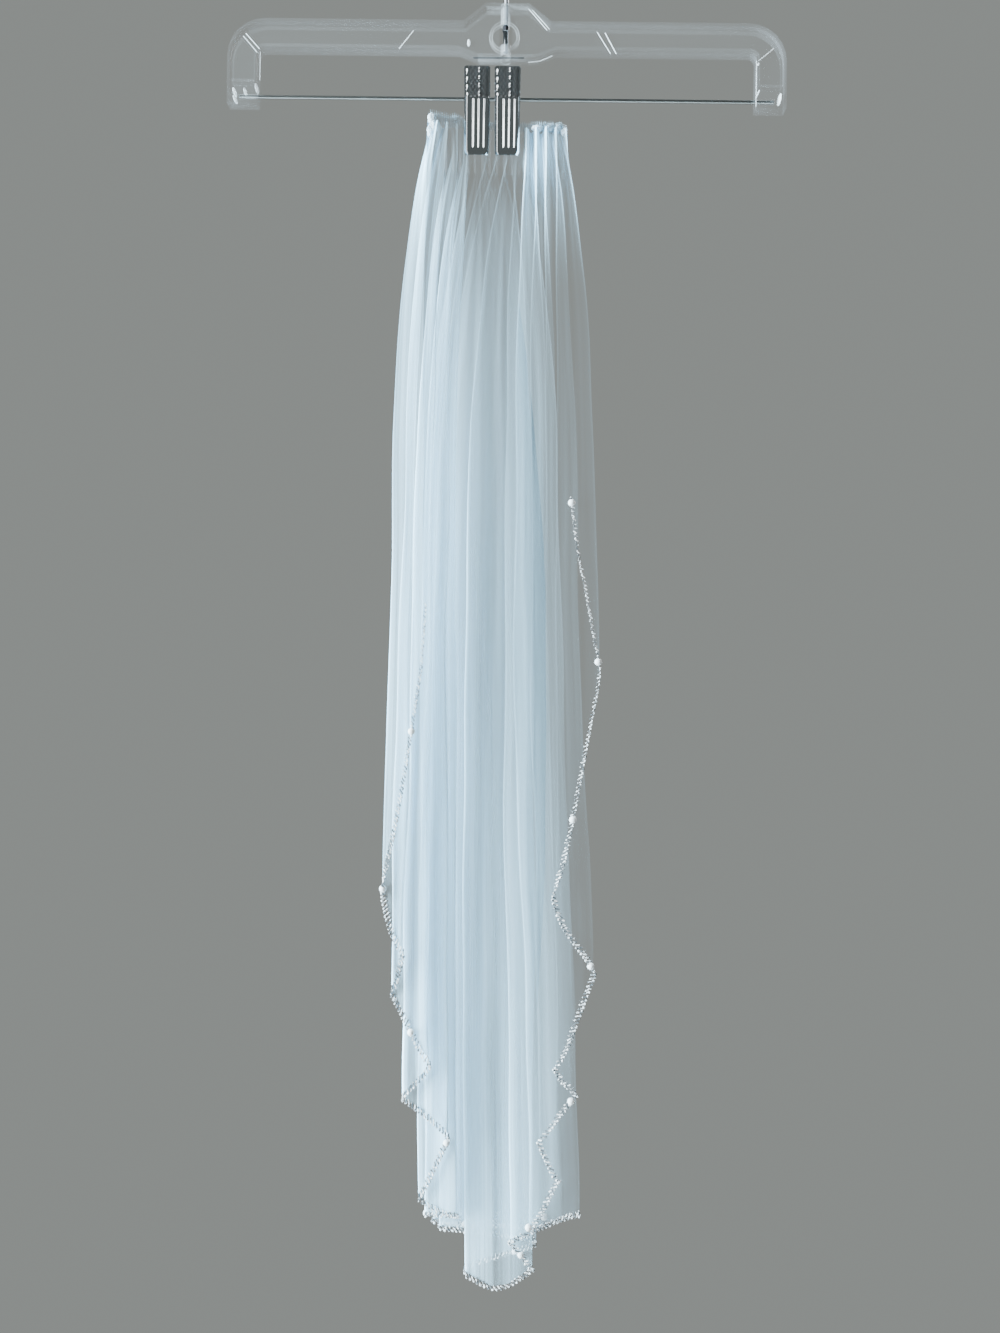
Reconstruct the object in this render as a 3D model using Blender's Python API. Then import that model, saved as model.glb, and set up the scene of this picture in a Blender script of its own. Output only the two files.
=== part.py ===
"""Bridal veil of soft tulle on a comb, held by the two clips of a clear hanger.

Metres, +Z up. The origin is the inside top of the hanger's hook, where a rail holds it.
The veil's front faces -Y and +X is to the viewer's right.
"""
import math

import bmesh
import bpy
from mathutils import Vector

MM = 0.001
SEAT = 0.3 * MM             # gap between pieces that touch

# Hanger: an I-shaped section of clear plastic, 354 mm wide
HANGER_TOP = -63.0 * MM     # top of the hump that the hook comes out of
HANGER_HALF = 177.0 * MM
HANGER_MIDDLE = 2.4 * MM    # the frame's middle stands a little to the right of the hook's loop
HANGER_DEPTH = 9.0 * MM
RAIL_DROP = 11.0 * MM       # the rail's top lies this far below the hump
RAIL_TALL = 18.0 * MM
HUMP_FLAT = 13.8 * MM
HUMP_FOOT = 27.5 * MM
DIP_FLAT = 18.0 * MM
DIP_FOOT = 30.5 * MM
DIP_DEEP = 5.0 * MM
LEG_WIDE = 19.0 * MM
LEG_TALL = 64.5 * MM
CORNER_OUT = 24.0 * MM
CORNER_IN = 4.0 * MM
RIM = 2.0 * MM
WEB = 2.0 * MM
SOCKET_TALL = 15.0 * MM
SOCKET_INSET = 0.8 * MM     # the socket's block lies this far inside the leg's outline
BOSS_RADIUS = 3.4 * MM
WINDOW_TOP = 12.0 * MM      # below the hump, where the hook's nut and wire show
WINDOW_TALL = 13.0 * MM
WINDOW_SIDE = 0.5 * MM      # the window is wider than the boss by this on each side
STEM_X = 1.4 * MM           # the hook's stem, beside the middle of its loop
STEM_DEEP = 3.5 * MM        # the stem's end lies this far under the window
HANGER_TILT = math.radians(0.65)

# Hook, bar and clips
HOOK_WIRE = 1.6 * MM
HOOK_INSIDE = 19.0 * MM
HOOK_START = math.radians(-52.0)
HOOK_END = math.radians(205.0)
HOOK_BEND = 9.0 * MM        # length of the easy bend from the stem into the loop
NUT_SIZE = 1.3              # the nut's radius in wire radii
NUT_TOP = 0.6 * MM          # under the window's top
NUT_TALL = 2.8 * MM
BAR_RADIUS = 1.1 * MM
BAR_Z = -121.5 * MM
BAR_HALF = 170.0 * MM
CLIP_WIDE = 16.6 * MM
CLIP_METAL = 1.1 * MM
CLIP_PLACES = {"left": -16.3 * MM, "right": 2.9 * MM}
BACK_JAW_REACH = 0.79       # the back jaw's reach below the bar, as a share of the front one's
RIB_COUNT = 4
RIB_RAISE = 0.6 * MM
RIB_SPAN = (-34.0 * MM, -4.0 * MM)  # on the front jaw

# Inner face of each jaw: height over the bar, distance to the front, distance to the back
JAW_PROFILE = (
    # height, front, back
    (15.6, 9.0, 9.0),
    (8.0, 6.6, 6.6),
    (0.0, 4.3, 4.3),
    (-8.0, 5.6, 6.6),
    (-16.0, 6.4, 8.2),
    (-26.0, 6.0, 8.8),
    (-34.0, 5.3, 8.1),
    (-38.0, 5.0, 7.8),
)

# Veil: where it is gathered
COMB_LEFT = -48.8 * MM
COMB_RIGHT = 38.6 * MM
HEAD_Z = -140.4 * MM        # top of the tulle under the gathered head, at the middle
HEAD_FALL = 0.056           # the head runs a little lower to the right
PLEAT_BACK = 2.4 * MM
PLEAT_FRONT_CLIPPED = -4.2 * MM
PLEAT_FRONT_FREE = -7.2 * MM
CLIPPED = (-31.0 * MM, 15.0 * MM)
TULLE = 1.0 * MM
SPREAD_LENGTH = 105.0 * MM  # how soon the gathers open sideways into folds
DEPTH_LENGTH = 60.0 * MM    # how soon the folds come to lie one behind another
LATE = 22.0 * MM            # the back folds stay gathered over this length, in front of the comb
LOW_START = 0.45            # share of its length below which a fold drifts to its hem place
FOLD_RADIUS_HEAD = 0.75 * MM
FOLD_RADIUS_HEM = 1.5 * MM
ARC_STEPS = 3

# One row for each fold from the left side edge to the right one.
# turn is the way the cloth turns round the fold: 1 left, -1 right.
# upper is the fold's x in the veil's upper half, x and y place it at the hem,
# drop is the tulle's length there under the head, and between is
# the number of points on the flat stretch that follows.
FOLDS = (
    # name, turn, upper, x, y, drop, between
    ("edge_left", 0, -50.0, -50.0, -28.5, 304.0, 2),
    ("left_1", -1, -71.5, -74.0, -25.5, 474.0, 1),
    ("left_2", 1, -56.5, -62.0, -22.5, 516.5, 1),
    ("left_3", -1, -65.5, -70.5, -19.5, 540.5, 1),
    ("left_4", 1, -45.5, -47.5, -16.5, 587.5, 1),
    ("left_5", -1, -59.5, -64.0, -13.5, 609.0, 1),
    ("left_6", 1, -36.5, -35.5, -10.5, 635.5, 1),
    ("left_7", -1, -54.5, -54.5, -7.5, 674.5, 1),
    ("left_8", 1, -30.5, -30.5, -4.5, 688.0, 1),
    ("left_9", -1, -51.5, -51.5, -1.0, 688.5, 1),
    ("back_left", -1, -57.0, -51.0, 20.0, 698.0, 3),
    ("back_right", -1, 29.5, 26.0, 20.0, 701.0, 3),
    ("hidden_1", 1, -50.5, -46.5, 17.0, 702.0, 3),
    ("hidden_2", -1, 30.5, 23.5, 14.0, 704.0, 3),
    ("hidden_3", 1, -47.0, -42.0, 11.0, 703.0, 3),
    ("hidden_4", -1, 28.5, 20.0, 8.0, 712.0, 2),
    ("middle_1", 1, -27.5, -26.0, 5.0, 728.0, 3),
    ("middle_2", -1, 19.5, 17.5, 2.0, 725.0, 1),
    ("middle_3", 1, -1.0, 2.0, -1.0, 706.5, 2),
    ("right_9", -1, 38.0, 47.0, -4.0, 687.5, 2),
    ("right_8", 1, 5.0, 15.5, -7.0, 694.0, 1),
    ("right_7", -1, 28.5, 33.0, -10.0, 662.5, 1),
    ("right_6", 1, 16.0, 22.0, -13.0, 637.5, 1),
    ("right_5", -1, 31.5, 43.5, -16.0, 606.5, 1),
    ("right_4", 1, 24.5, 32.0, -19.0, 589.0, 1),
    ("right_3", -1, 45.5, 53.0, -22.0, 528.5, 1),
    ("right_2", 1, 31.0, 31.0, -25.0, 479.0, 2),
    ("right_1", -1, 55.5, 57.0, -28.0, 341.0, 2),
    ("edge_right", 0, 42.0, 42.0, -31.0, 239.5, 0),
)
BACK_FOLD = "back_left"      # the broad stretch behind all the others starts here
BACK_BULGE = 0.35 * MM
LOBE_AFTER = "middle_1"     # the lowest lobe hangs between this fold and the next
LOBE_DROP = 12.0 * MM

# Share of each thread's length at which the tulle has a row of points
LENGTH_STEPS = (
    0.0, 0.02, 0.035, 0.05, 0.067, 0.09, 0.12, 0.165,
    0.23, 0.33, 0.46, 0.60, 0.74, 0.87, 1.0,
)

# Gathered head and comb
HEAD_TALL = 5.2 * MM
HEAD_GATHERS = 34
HEAD_RIPPLE = 0.35 * MM
HEAD_SIDES = 8
HEAD_OVER_FRONT = 0.4 * MM  # the head stands forward of the gathers by this
HEAD_OVER_BACK = 0.6 * MM
HEAD_END = 0.55             # size of the head's ends beside its full size
COMB_FRONT = 3.7 * MM
COMB_THICK = 1.3 * MM
COMB_TALL = 3.4 * MM
COMB_TEETH = 19
TOOTH_LENGTH = 26.0 * MM
TOOTH_LEAN = 0.14
TOOTH_TIP = 0.6             # size of a tooth's tip beside its root

# Beaded edging
BEAD_RADIUS = 1.0 * MM
EDGING_GAP = 0.8 * MM       # from the hem to the edging's side
PEARL_RADIUS = 2.0 * MM
PEARL_FOOT = 0.95           # the edging is plain again this far from a pearl's middle
PEARL_PROFILE = (
    # place in pearl radii, size in bead radii
    (-PEARL_FOOT, 1.0),
    (-0.62, 1.5),
    (0.0, PEARL_RADIUS / BEAD_RADIUS),
    (0.62, 1.5),
    (PEARL_FOOT, 1.0),
)
PEARL_APART = 98.0 * MM
PEARL_FIRST = 3.0 * MM      # from the end of the right side edge to the first pearl
PEARL_CLEAR = 1.2           # no other point of the edging is nearer to a pearl, in pearl feet
EDGING_STEP = 9.0 * MM
EDGING_SIDES = 5
SHARPEST_MITRE = 0.7


def clear_scene():
    """Start from an empty scene."""
    for thing in list(bpy.data.objects):
        bpy.data.objects.remove(thing, do_unlink=True)


def finish(name, colour, roughness, metallic=0.0, alpha=1.0):
    """A plain material in the piece's own colour."""
    material = bpy.data.materials.new(name)
    material.use_nodes = True
    surface = material.node_tree.nodes["Principled BSDF"]
    surface.inputs["Base Color"].default_value = (*colour, 1.0)
    surface.inputs["Roughness"].default_value = roughness
    surface.inputs["Metallic"].default_value = metallic
    surface.inputs["Alpha"].default_value = alpha
    return material


def add_piece(name, points, faces, material, parent=None, sharp=30.0):
    """One named object from its points and faces."""
    mesh = bpy.data.meshes.new(name)
    mesh.from_pydata([tuple(p) for p in points], [], faces)
    tidy = bmesh.new()
    tidy.from_mesh(mesh)
    bmesh.ops.recalc_face_normals(tidy, faces=tidy.faces)
    tidy.to_mesh(mesh)
    tidy.free()
    mesh.shade_smooth()
    mesh.set_sharp_from_angle(angle=math.radians(sharp))
    mesh.materials.append(material)
    piece = bpy.data.objects.new(name, mesh)
    bpy.context.collection.objects.link(piece)
    piece.parent = parent
    return piece


def closed_grid(front, back):
    """Points and faces of a wall whose two sides are grids of the same size."""
    rows, columns = len(front), len(front[0])
    points = [p for row in front for p in row] + [p for row in back for p in row]
    half = rows * columns

    def at(row, column, side):
        return side * half + row * columns + column

    faces = []
    for r in range(rows - 1):
        for c in range(columns - 1):
            faces.append((at(r, c, 0), at(r, c + 1, 0), at(r + 1, c + 1, 0), at(r + 1, c, 0)))
            faces.append((at(r, c, 1), at(r + 1, c, 1), at(r + 1, c + 1, 1), at(r, c + 1, 1)))
    for c in range(columns - 1):
        faces.append((at(0, c, 0), at(0, c, 1), at(0, c + 1, 1), at(0, c + 1, 0)))
        last = rows - 1
        faces.append((at(last, c, 0), at(last, c + 1, 0), at(last, c + 1, 1), at(last, c, 1)))
    for r in range(rows - 1):
        faces.append((at(r, 0, 0), at(r + 1, 0, 0), at(r + 1, 0, 1), at(r, 0, 1)))
        last = columns - 1
        faces.append((at(r, last, 0), at(r, last, 1), at(r + 1, last, 1), at(r + 1, last, 0)))
    return points, faces


def closed_tube(rings):
    """Points and faces of a tube through rings of equal size, with flat ends."""
    sides = len(rings[0])
    points = [p for ring in rings for p in ring]
    faces = [tuple(range(sides)), tuple(reversed(range(len(points) - sides, len(points))))]
    for r in range(len(rings) - 1):
        for s in range(sides):
            here, there = r * sides + s, r * sides + (s + 1) % sides
            faces.append((here, there, there + sides, here + sides))
    return points, faces


def arc(centre, radius, start, end, steps):
    """Points on an arc, with angles in degrees."""
    turns = [math.radians(start + (end - start) * i / steps) for i in range(steps + 1)]
    return [(centre[0] + radius * math.cos(a), centre[1] + radius * math.sin(a)) for a in turns]


def hanger_outline(inset):
    """The hanger's outline in x and z, drawn inset from its real edge."""
    half = HANGER_HALF - inset
    top = HANGER_TOP - inset
    rail_top = top - RAIL_DROP
    rail_under = HANGER_TOP - RAIL_DROP - RAIL_TALL + inset
    leg_end = HANGER_TOP - LEG_TALL + inset
    leg_inside = HANGER_HALF - LEG_WIDE + inset
    outer = CORNER_OUT - inset
    inner = CORNER_IN + inset
    right = [(HUMP_FLAT - inset * 0.4, top), (HUMP_FOOT - inset * 0.4, rail_top)]
    right += arc((half - outer, rail_top - outer), outer, 90, 0, 6)
    right += [(half, leg_end), (leg_inside, leg_end)]
    right += arc((leg_inside - inner, rail_under - inner), inner, 0, 90, 3)
    right += [(DIP_FOOT + inset * 0.3, rail_under), (DIP_FLAT + inset * 0.3, rail_under - DIP_DEEP)]
    left = [(-x, z) for x, z in reversed(right)]
    return [(HANGER_MIDDLE + x, z) for x, z in right + left]


def cutter(name, points, faces):
    """A helper solid that shapes another piece and isn't built."""
    mesh = bpy.data.meshes.new(name)
    mesh.from_pydata([tuple(p) for p in points], [], faces)
    tidy = bmesh.new()
    tidy.from_mesh(mesh)
    bmesh.ops.recalc_face_normals(tidy, faces=tidy.faces)
    tidy.to_mesh(mesh)
    tidy.free()
    helper = bpy.data.objects.new(name, mesh)
    bpy.context.collection.objects.link(helper)
    helper.hide_render = True
    helper.display_type = "WIRE"
    return helper


def box_solid(low, high):
    """Points and faces of a box."""
    points = [(x, y, z) for x in (low[0], high[0]) for y in (low[1], high[1]) for z in (low[2], high[2])]
    faces = [(0, 1, 3, 2), (4, 6, 7, 5), (0, 4, 5, 1), (2, 3, 7, 6), (0, 2, 6, 4), (1, 5, 7, 3)]
    return points, faces


def rod_solid(start, end, radius, sides=16):
    """Points and faces of a round rod between two points."""
    start, end = Vector(start), Vector(end)
    along = (end - start).normalized()
    across = along.orthogonal().normalized()
    other = along.cross(across)
    rings = []
    for centre in (start, end):
        ring = []
        for s in range(sides):
            a = math.tau * s / sides
            ring.append(centre + radius * (math.cos(a) * across + math.sin(a) * other))
        rings.append(ring)
    return closed_tube(rings)


def shape_with(piece, helper, operation, parent):
    """Join a helper to a piece, or cut it away."""
    helper.parent = parent
    change = piece.modifiers.new(helper.name, "BOOLEAN")
    change.operation = operation
    change.solver = "EXACT"
    change.object = helper


def make_hanger_frame(material, parent):
    """Clear rail with its hump, two legs, sockets for the bar and the boss for the hook."""
    outside = hanger_outline(0.0)
    inside = hanger_outline(RIM)
    count = len(outside)
    deep, web = HANGER_DEPTH / 2, WEB / 2
    levels = (
        (outside, -deep), (inside, -deep), (inside, -web),
        (outside, deep), (inside, deep), (inside, web),
    )
    points = [(x, y, z) for loop, y in levels for x, z in loop]
    faces = []
    for i in range(count):
        j = (i + 1) % count
        for low, high in ((0, 1), (1, 2), (3, 4), (4, 5), (0, 3)):
            faces.append((low * count + i, low * count + j, high * count + j, high * count + i))
    faces.append(tuple(2 * count + i for i in range(count)))
    faces.append(tuple(5 * count + i for i in range(count)))
    frame = add_piece("hanger_frame", points, faces, material, parent)

    leg_end = HANGER_TOP - LEG_TALL
    boss_end = HANGER_TOP - RAIL_DROP - RAIL_TALL - DIP_DEEP
    window_top = HANGER_TOP - WINDOW_TOP
    window_end = window_top - WINDOW_TALL
    for name, side in (("left", -1), ("right", 1)):
        inner = HANGER_MIDDLE + side * (HANGER_HALF - LEG_WIDE + SOCKET_INSET)
        outer = HANGER_MIDDLE + side * (HANGER_HALF - SOCKET_INSET)
        block = box_solid(
            (min(inner, outer), -deep + 0.2 * MM, leg_end + SOCKET_INSET),
            (max(inner, outer), deep - 0.2 * MM, leg_end + SOCKET_TALL),
        )
        shape_with(frame, cutter("socket_" + name, *block), "UNION", parent)
    boss = rod_solid((STEM_X, 0, HANGER_TOP + 0.6 * MM), (STEM_X, 0, boss_end - 0.6 * MM), BOSS_RADIUS)
    shape_with(frame, cutter("hook_boss", *boss), "UNION", parent)
    window_half = BOSS_RADIUS + WINDOW_SIDE
    window = box_solid(
        (STEM_X - window_half, -deep - MM, window_end),
        (STEM_X + window_half, deep + MM, window_top),
    )
    shape_with(frame, cutter("hook_window", *window), "DIFFERENCE", parent)
    bore_end = window_end - STEM_DEEP - SEAT
    bore = rod_solid((STEM_X, 0, HANGER_TOP + 3 * MM), (STEM_X, 0, bore_end), HOOK_WIRE + SEAT)
    shape_with(frame, cutter("hook_bore", *bore), "DIFFERENCE", parent)
    for name, side in (("left", -1), ("right", 1)):
        deep_end = HANGER_MIDDLE + side * (BAR_HALF + SEAT)
        open_end = HANGER_MIDDLE + side * (HANGER_HALF - LEG_WIDE - 3 * MM)
        hole = rod_solid((deep_end, 0, BAR_Z), (open_end, 0, BAR_Z), BAR_RADIUS + SEAT)
        shape_with(frame, cutter("bar_hole_" + name, *hole), "DIFFERENCE", parent)
    return frame


def make_hook(material, parent):
    """Question-mark wire hook whose inside top is the origin, with a nut in the window."""
    radius = HOOK_INSIDE + HOOK_WIRE
    centre_z = -HOOK_INSIDE
    window_top = HANGER_TOP - WINDOW_TOP
    nut_top = window_top - NUT_TOP
    nut_end = nut_top - NUT_TALL
    step = 0.2 * MM
    route = [(STEM_X, window_top - WINDOW_TALL - STEM_DEEP, 1.0), (STEM_X, nut_end - step, 1.0)]
    route += [(STEM_X, nut_end, NUT_SIZE), (STEM_X, nut_top, NUT_SIZE)]
    route += [(STEM_X, nut_top + step, 1.0), (STEM_X, HANGER_TOP + 4 * MM, 1.0)]
    start = (radius * math.cos(HOOK_START), centre_z + radius * math.sin(HOOK_START))
    low = (STEM_X, HANGER_TOP + 10 * MM)
    toward = (-math.sin(HOOK_START), math.cos(HOOK_START))
    for i in range(6):
        t = i / 6
        a, b, c, d = (1 - t) ** 3, 3 * t * (1 - t) ** 2, 3 * t * t * (1 - t), t ** 3
        near = (start[0] - HOOK_BEND * toward[0], start[1] - HOOK_BEND * toward[1])
        x = a * low[0] + b * low[0] + c * near[0] + d * start[0]
        z = a * low[1] + b * (low[1] + HOOK_BEND) + c * near[1] + d * start[1]
        route.append((x, z, 1.0))
    steps = 20
    for i in range(steps + 1):
        a = HOOK_START + (HOOK_END - HOOK_START) * i / steps
        route.append((radius * math.cos(a), centre_z + radius * math.sin(a), 1.0))
    curve = bpy.data.curves.new("hanger_hook", "CURVE")
    curve.dimensions = "3D"
    curve.bevel_depth = HOOK_WIRE
    curve.bevel_resolution = 2
    curve.use_fill_caps = True
    line = curve.splines.new("POLY")
    line.points.add(len(route) - 1)
    for point, (x, z, size) in zip(line.points, route):
        point.co = (x, 0.0, z, 1.0)
        point.radius = size
    curve.materials.append(material)
    hook = bpy.data.objects.new("hanger_hook", curve)
    bpy.context.collection.objects.link(hook)
    hook.parent = parent
    return hook


def make_bar(material, parent):
    """Steel bar between the two legs."""
    left, right = HANGER_MIDDLE - BAR_HALF, HANGER_MIDDLE + BAR_HALF
    points, faces = rod_solid((left, 0, BAR_Z), (right, 0, BAR_Z), BAR_RADIUS, 12)
    return add_piece("hanger_bar", points, faces, material, parent)


def make_jaw(name, centre_x, side, material, parent):
    """One pressed jaw of a clip: side is -1 for the front one and 1 for the back one."""
    column_count = 2 * RIB_COUNT + 1
    inner, outer = [], []
    for height, front, back in JAW_PROFILE:
        reach = (front if side < 0 else back) * MM
        z = height * MM
        ribs_here = RIB_SPAN[0] < z < RIB_SPAN[1]
        if side > 0 and z < 0.0:
            z *= BACK_JAW_REACH
        inner_row, outer_row = [], []
        for c in range(column_count):
            x = centre_x + CLIP_WIDE * (c / (column_count - 1) - 0.5)
            raised = RIB_RAISE if ribs_here and c % 2 == 1 else 0.0
            inner_row.append((x, side * reach, BAR_Z + z))
            outer_row.append((x, side * (reach + CLIP_METAL + raised), BAR_Z + z))
        inner.append(inner_row)
        outer.append(outer_row)
    points, faces = closed_grid(outer, inner)
    return add_piece(name, points, faces, material, parent, 25.0)


def make_spring(name, centre_x, material, parent):
    """Coil of the clip's spring round the bar, as one plain sleeve."""
    half = CLIP_WIDE * 0.36
    inside = BAR_RADIUS + SEAT
    outside = JAW_PROFILE[2][1] * MM - SEAT
    loop = ((-half, inside), (half, inside), (half, outside), (-half, outside))
    sides = 16
    points = []
    for s in range(sides):
        a = math.tau * s / sides
        points += [(centre_x + x, r * math.cos(a), BAR_Z + r * math.sin(a)) for x, r in loop]
    faces = []
    for s in range(sides):
        here, there = s * 4, (s + 1) % sides * 4
        faces += [(here + k, here + (k + 1) % 4, there + (k + 1) % 4, there + k) for k in range(4)]
    return add_piece(name, points, faces, material, parent)


def opened(level, length):
    """How far the gathers have opened at a depth under the head, from 0 to nearly 1."""
    return 1.0 - math.exp(-level / length)


def opened_share(index, level, length):
    """Share of its way to the hem that a fold has gone at a depth under the head."""
    depth, drop = FOLDS[index][4], FOLDS[index][5] * MM
    behind = min(max((depth + 10.0) / 8.0, 0.0), 1.0)
    wait = LATE * max(behind, 1.0 - free_share(head_x(index)))
    return opened(max(level - wait, 0.0), length) / opened(drop - wait, length)


def head_x(index):
    """Where a fold starts at the comb."""
    return COMB_LEFT + (COMB_RIGHT - COMB_LEFT) * index / (len(FOLDS) - 1)


def head_z(x):
    """Top of the tulle at a place along the comb."""
    return HEAD_Z - HEAD_FALL * (x - (COMB_LEFT + COMB_RIGHT) / 2)


def free_share(x):
    """0 where the clips press the head flat, 1 where it is free."""
    past = max(CLIPPED[0] - x, x - CLIPPED[1], 0.0)
    return min(past / (8 * MM), 1.0)


def front_reach(x):
    """How far the gathers stand forward at the comb."""
    share = free_share(x)
    return PLEAT_FRONT_CLIPPED + (PLEAT_FRONT_FREE - PLEAT_FRONT_CLIPPED) * share


def fold_circle(index, level):
    """Centre, radius and turn of a fold at a depth under the head."""
    name, turn, upper_x, hem_x, hem_y, drop, between = FOLDS[index]
    start_x = head_x(index)
    radius_head = FOLD_RADIUS_HEAD if turn else 0.0
    radius_hem = FOLD_RADIUS_HEM if turn else 0.0
    start_y = front_reach(start_x) + radius_head if turn >= 0 else PLEAT_BACK - radius_head
    outward = 1.0 if hem_is_right(index) else -1.0
    if name == BACK_FOLD:
        start_y += BACK_BULGE
    end_x = upper_x * MM - outward * radius_hem
    end_y = hem_y * MM
    share = opened_share(index, level, SPREAD_LENGTH)
    deep = opened_share(index, level, DEPTH_LENGTH)
    low = min(max((level / (drop * MM) - LOW_START) / (1.0 - LOW_START), 0.0), 1.0)
    x = start_x + (end_x - start_x) * share + (hem_x - upper_x) * MM * low * low * (3 - 2 * low)
    y = start_y + (end_y - start_y) * deep
    radius = radius_head + (radius_hem - radius_head) * min(share, 1.0) ** 2
    return x, y, radius, turn


def hem_is_right(index):
    """Whether a fold is the right-hand end of the stretches beside it."""
    beside = [FOLDS[i][3] for i in (index - 1, index + 1) if 0 <= i < len(FOLDS)]
    return FOLDS[index][3] > sum(beside) / len(beside)


def pass_direction(first, second):
    """Angle of the straight stretch that touches two fold circles."""
    away_x, away_y = second[0] - first[0], second[1] - first[1]
    shift = second[3] * second[2] - first[3] * first[2]
    length = math.sqrt(max(away_x ** 2 + away_y ** 2 - shift ** 2, 1e-12))
    return math.atan2(away_y, away_x) - math.atan2(shift, length)


def column_list():
    """Each column of the tulle as its kind, fold number and place, and its station along the hem."""
    columns = []
    last = len(FOLDS) - 1
    for i, row in enumerate(FOLDS):
        if row[1] == 0:
            columns.append(("edge", i, 0.0, float(i)))
        else:
            for k in range(ARC_STEPS + 1):
                columns.append(("arc", i, k / ARC_STEPS, i - 0.1 + 0.2 * k / ARC_STEPS))
        if i == last:
            break
        for k in range(1, row[6] + 1):
            share = k / (row[6] + 1)
            columns.append(("pass", i, share, i + 0.1 + 0.8 * share))
    return columns


def hem_drop(station):
    """Length of the tulle at a station, smooth from fold to fold."""
    drops = [(i, row[5] * MM) for i, row in enumerate(FOLDS)]
    place = [row[0] for row in FOLDS].index(LOBE_AFTER)
    middle = (drops[place][1] + drops[place + 1][1]) / 2 + LOBE_DROP
    drops.insert(place + 1, (place + 0.5, middle))
    for k in range(len(drops) - 1):
        if drops[k][0] <= station <= drops[k + 1][0]:
            break
    (x0, y0), (x1, y1) = drops[k], drops[k + 1]
    before = drops[max(k - 1, 0)]
    after = drops[min(k + 2, len(drops) - 1)]
    slope0 = (y1 - before[1]) / (x1 - before[0])
    slope1 = (after[1] - y0) / (after[0] - x0)
    span = x1 - x0
    t = (station - x0) / span
    return (
        (2 * t ** 3 - 3 * t ** 2 + 1) * y0 + (t ** 3 - 2 * t ** 2 + t) * span * slope0
        + (3 * t ** 2 - 2 * t ** 3) * y1 + (t ** 3 - t ** 2) * span * slope1
    )


def tulle_place(column, level):
    """Middle of the tulle's wall and its side direction, at a depth under the head."""
    kind, index, share, station = column
    here = fold_circle(index, level)
    if kind == "pass":
        there = fold_circle(index + 1, level)
        angle = pass_direction(here, there)
        side = (-math.sin(angle), math.cos(angle))
        a = (here[0] - here[3] * here[2] * side[0], here[1] - here[3] * here[2] * side[1])
        b = (there[0] - there[3] * there[2] * side[0], there[1] - there[3] * there[2] * side[1])
        return a[0] + (b[0] - a[0]) * share, a[1] + (b[1] - a[1]) * share, side
    if kind == "edge":
        neighbour = index + 1 if index == 0 else index - 1
        pair = (here, fold_circle(neighbour, level))
        angle = pass_direction(*pair) if index == 0 else pass_direction(pair[1], pair[0])
        return here[0], here[1], (-math.sin(angle), math.cos(angle))
    start = pass_direction(fold_circle(index - 1, level), here)
    end = pass_direction(here, fold_circle(index + 1, level))
    turn = here[3]
    sweep = (turn * (end - start)) % math.tau
    angle = start + turn * sweep * share
    side = (-math.sin(angle), math.cos(angle))
    return here[0] - turn * here[2] * side[0], here[1] - turn * here[2] * side[1], side


def column_head_x(column):
    """Where a column starts along the comb."""
    return head_x(min(max(column[3], 0.0), len(FOLDS) - 1.0))


def tulle_rows(columns):
    """Middle points and side directions of the tulle, one row for each step of its length."""
    rows = []
    for step in LENGTH_STEPS:
        row = []
        for column in columns:
            long = hem_drop(column[3])
            level = long * step
            x, y, side = tulle_place(column, level)
            top = head_z(column_head_x(column))
            z = top + (HEAD_Z - long - top) * step
            row.append((Vector((x, y, z)), Vector((side[0], side[1], 0.0))))
        rows.append(row)
    return rows


def make_veil(rows, material):
    """The tulle panel, one wall from the comb to the hem."""
    front = [[place + side * (TULLE / 2) for place, side in row] for row in rows]
    back = [[place - side * (TULLE / 2) for place, side in row] for row in rows]
    points, faces = closed_grid(front, back)
    return add_piece("veil_panel", points, faces, material, None, 60.0)


def hem_path(rows):
    """Centre line of the edging, one clear gap outside the hem, and the way out from the hem."""
    hem = [place for place, side in rows[-1]]
    out = BEAD_RADIUS + EDGING_GAP
    line = []
    for i, (place, side) in enumerate(rows[-1]):
        before = (place - hem[i - 1]).normalized() if i else None
        after = (hem[i + 1] - place).normalized() if i + 1 < len(hem) else None
        along = ((before or after) + (after or before)).normalized()
        outward = place - rows[-2][i][0]
        outward = outward - along * outward.dot(along)
        outward = (outward - side * outward.dot(side)).normalized()
        corner = max(along.dot(before or after), SHARPEST_MITRE)
        line.append((place + outward * (out / corner), outward))
    return line


def even_line(line, step):
    """The same line with extra points wherever its points are further apart than a step."""
    even = [line[0]]
    for a, b in zip(line, line[1:]):
        parts = max(1, math.ceil((b[0] - a[0]).length / step))
        even += [(a[0].lerp(b[0], k / parts), a[1].lerp(b[1], k / parts)) for k in range(1, parts + 1)]
    return even


def pearl_places(line, lengths):
    """Places of the pearls, counted from the right side edge, moved off the folds' tight turns."""
    count = int((lengths[-1] - PEARL_FIRST) / PEARL_APART) + 1
    flats = [lengths[-1] - PEARL_FIRST] + [
        (lengths[k] + lengths[k + 1]) / 2
        for k in range(len(line) - 1) if lengths[k + 1] - lengths[k] > EDGING_STEP * 0.6
    ]
    even = [lengths[-1] - PEARL_FIRST - PEARL_APART * k for k in range(count)]
    return [min(flats, key=lambda s: abs(s - place)) for place in even]


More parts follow.
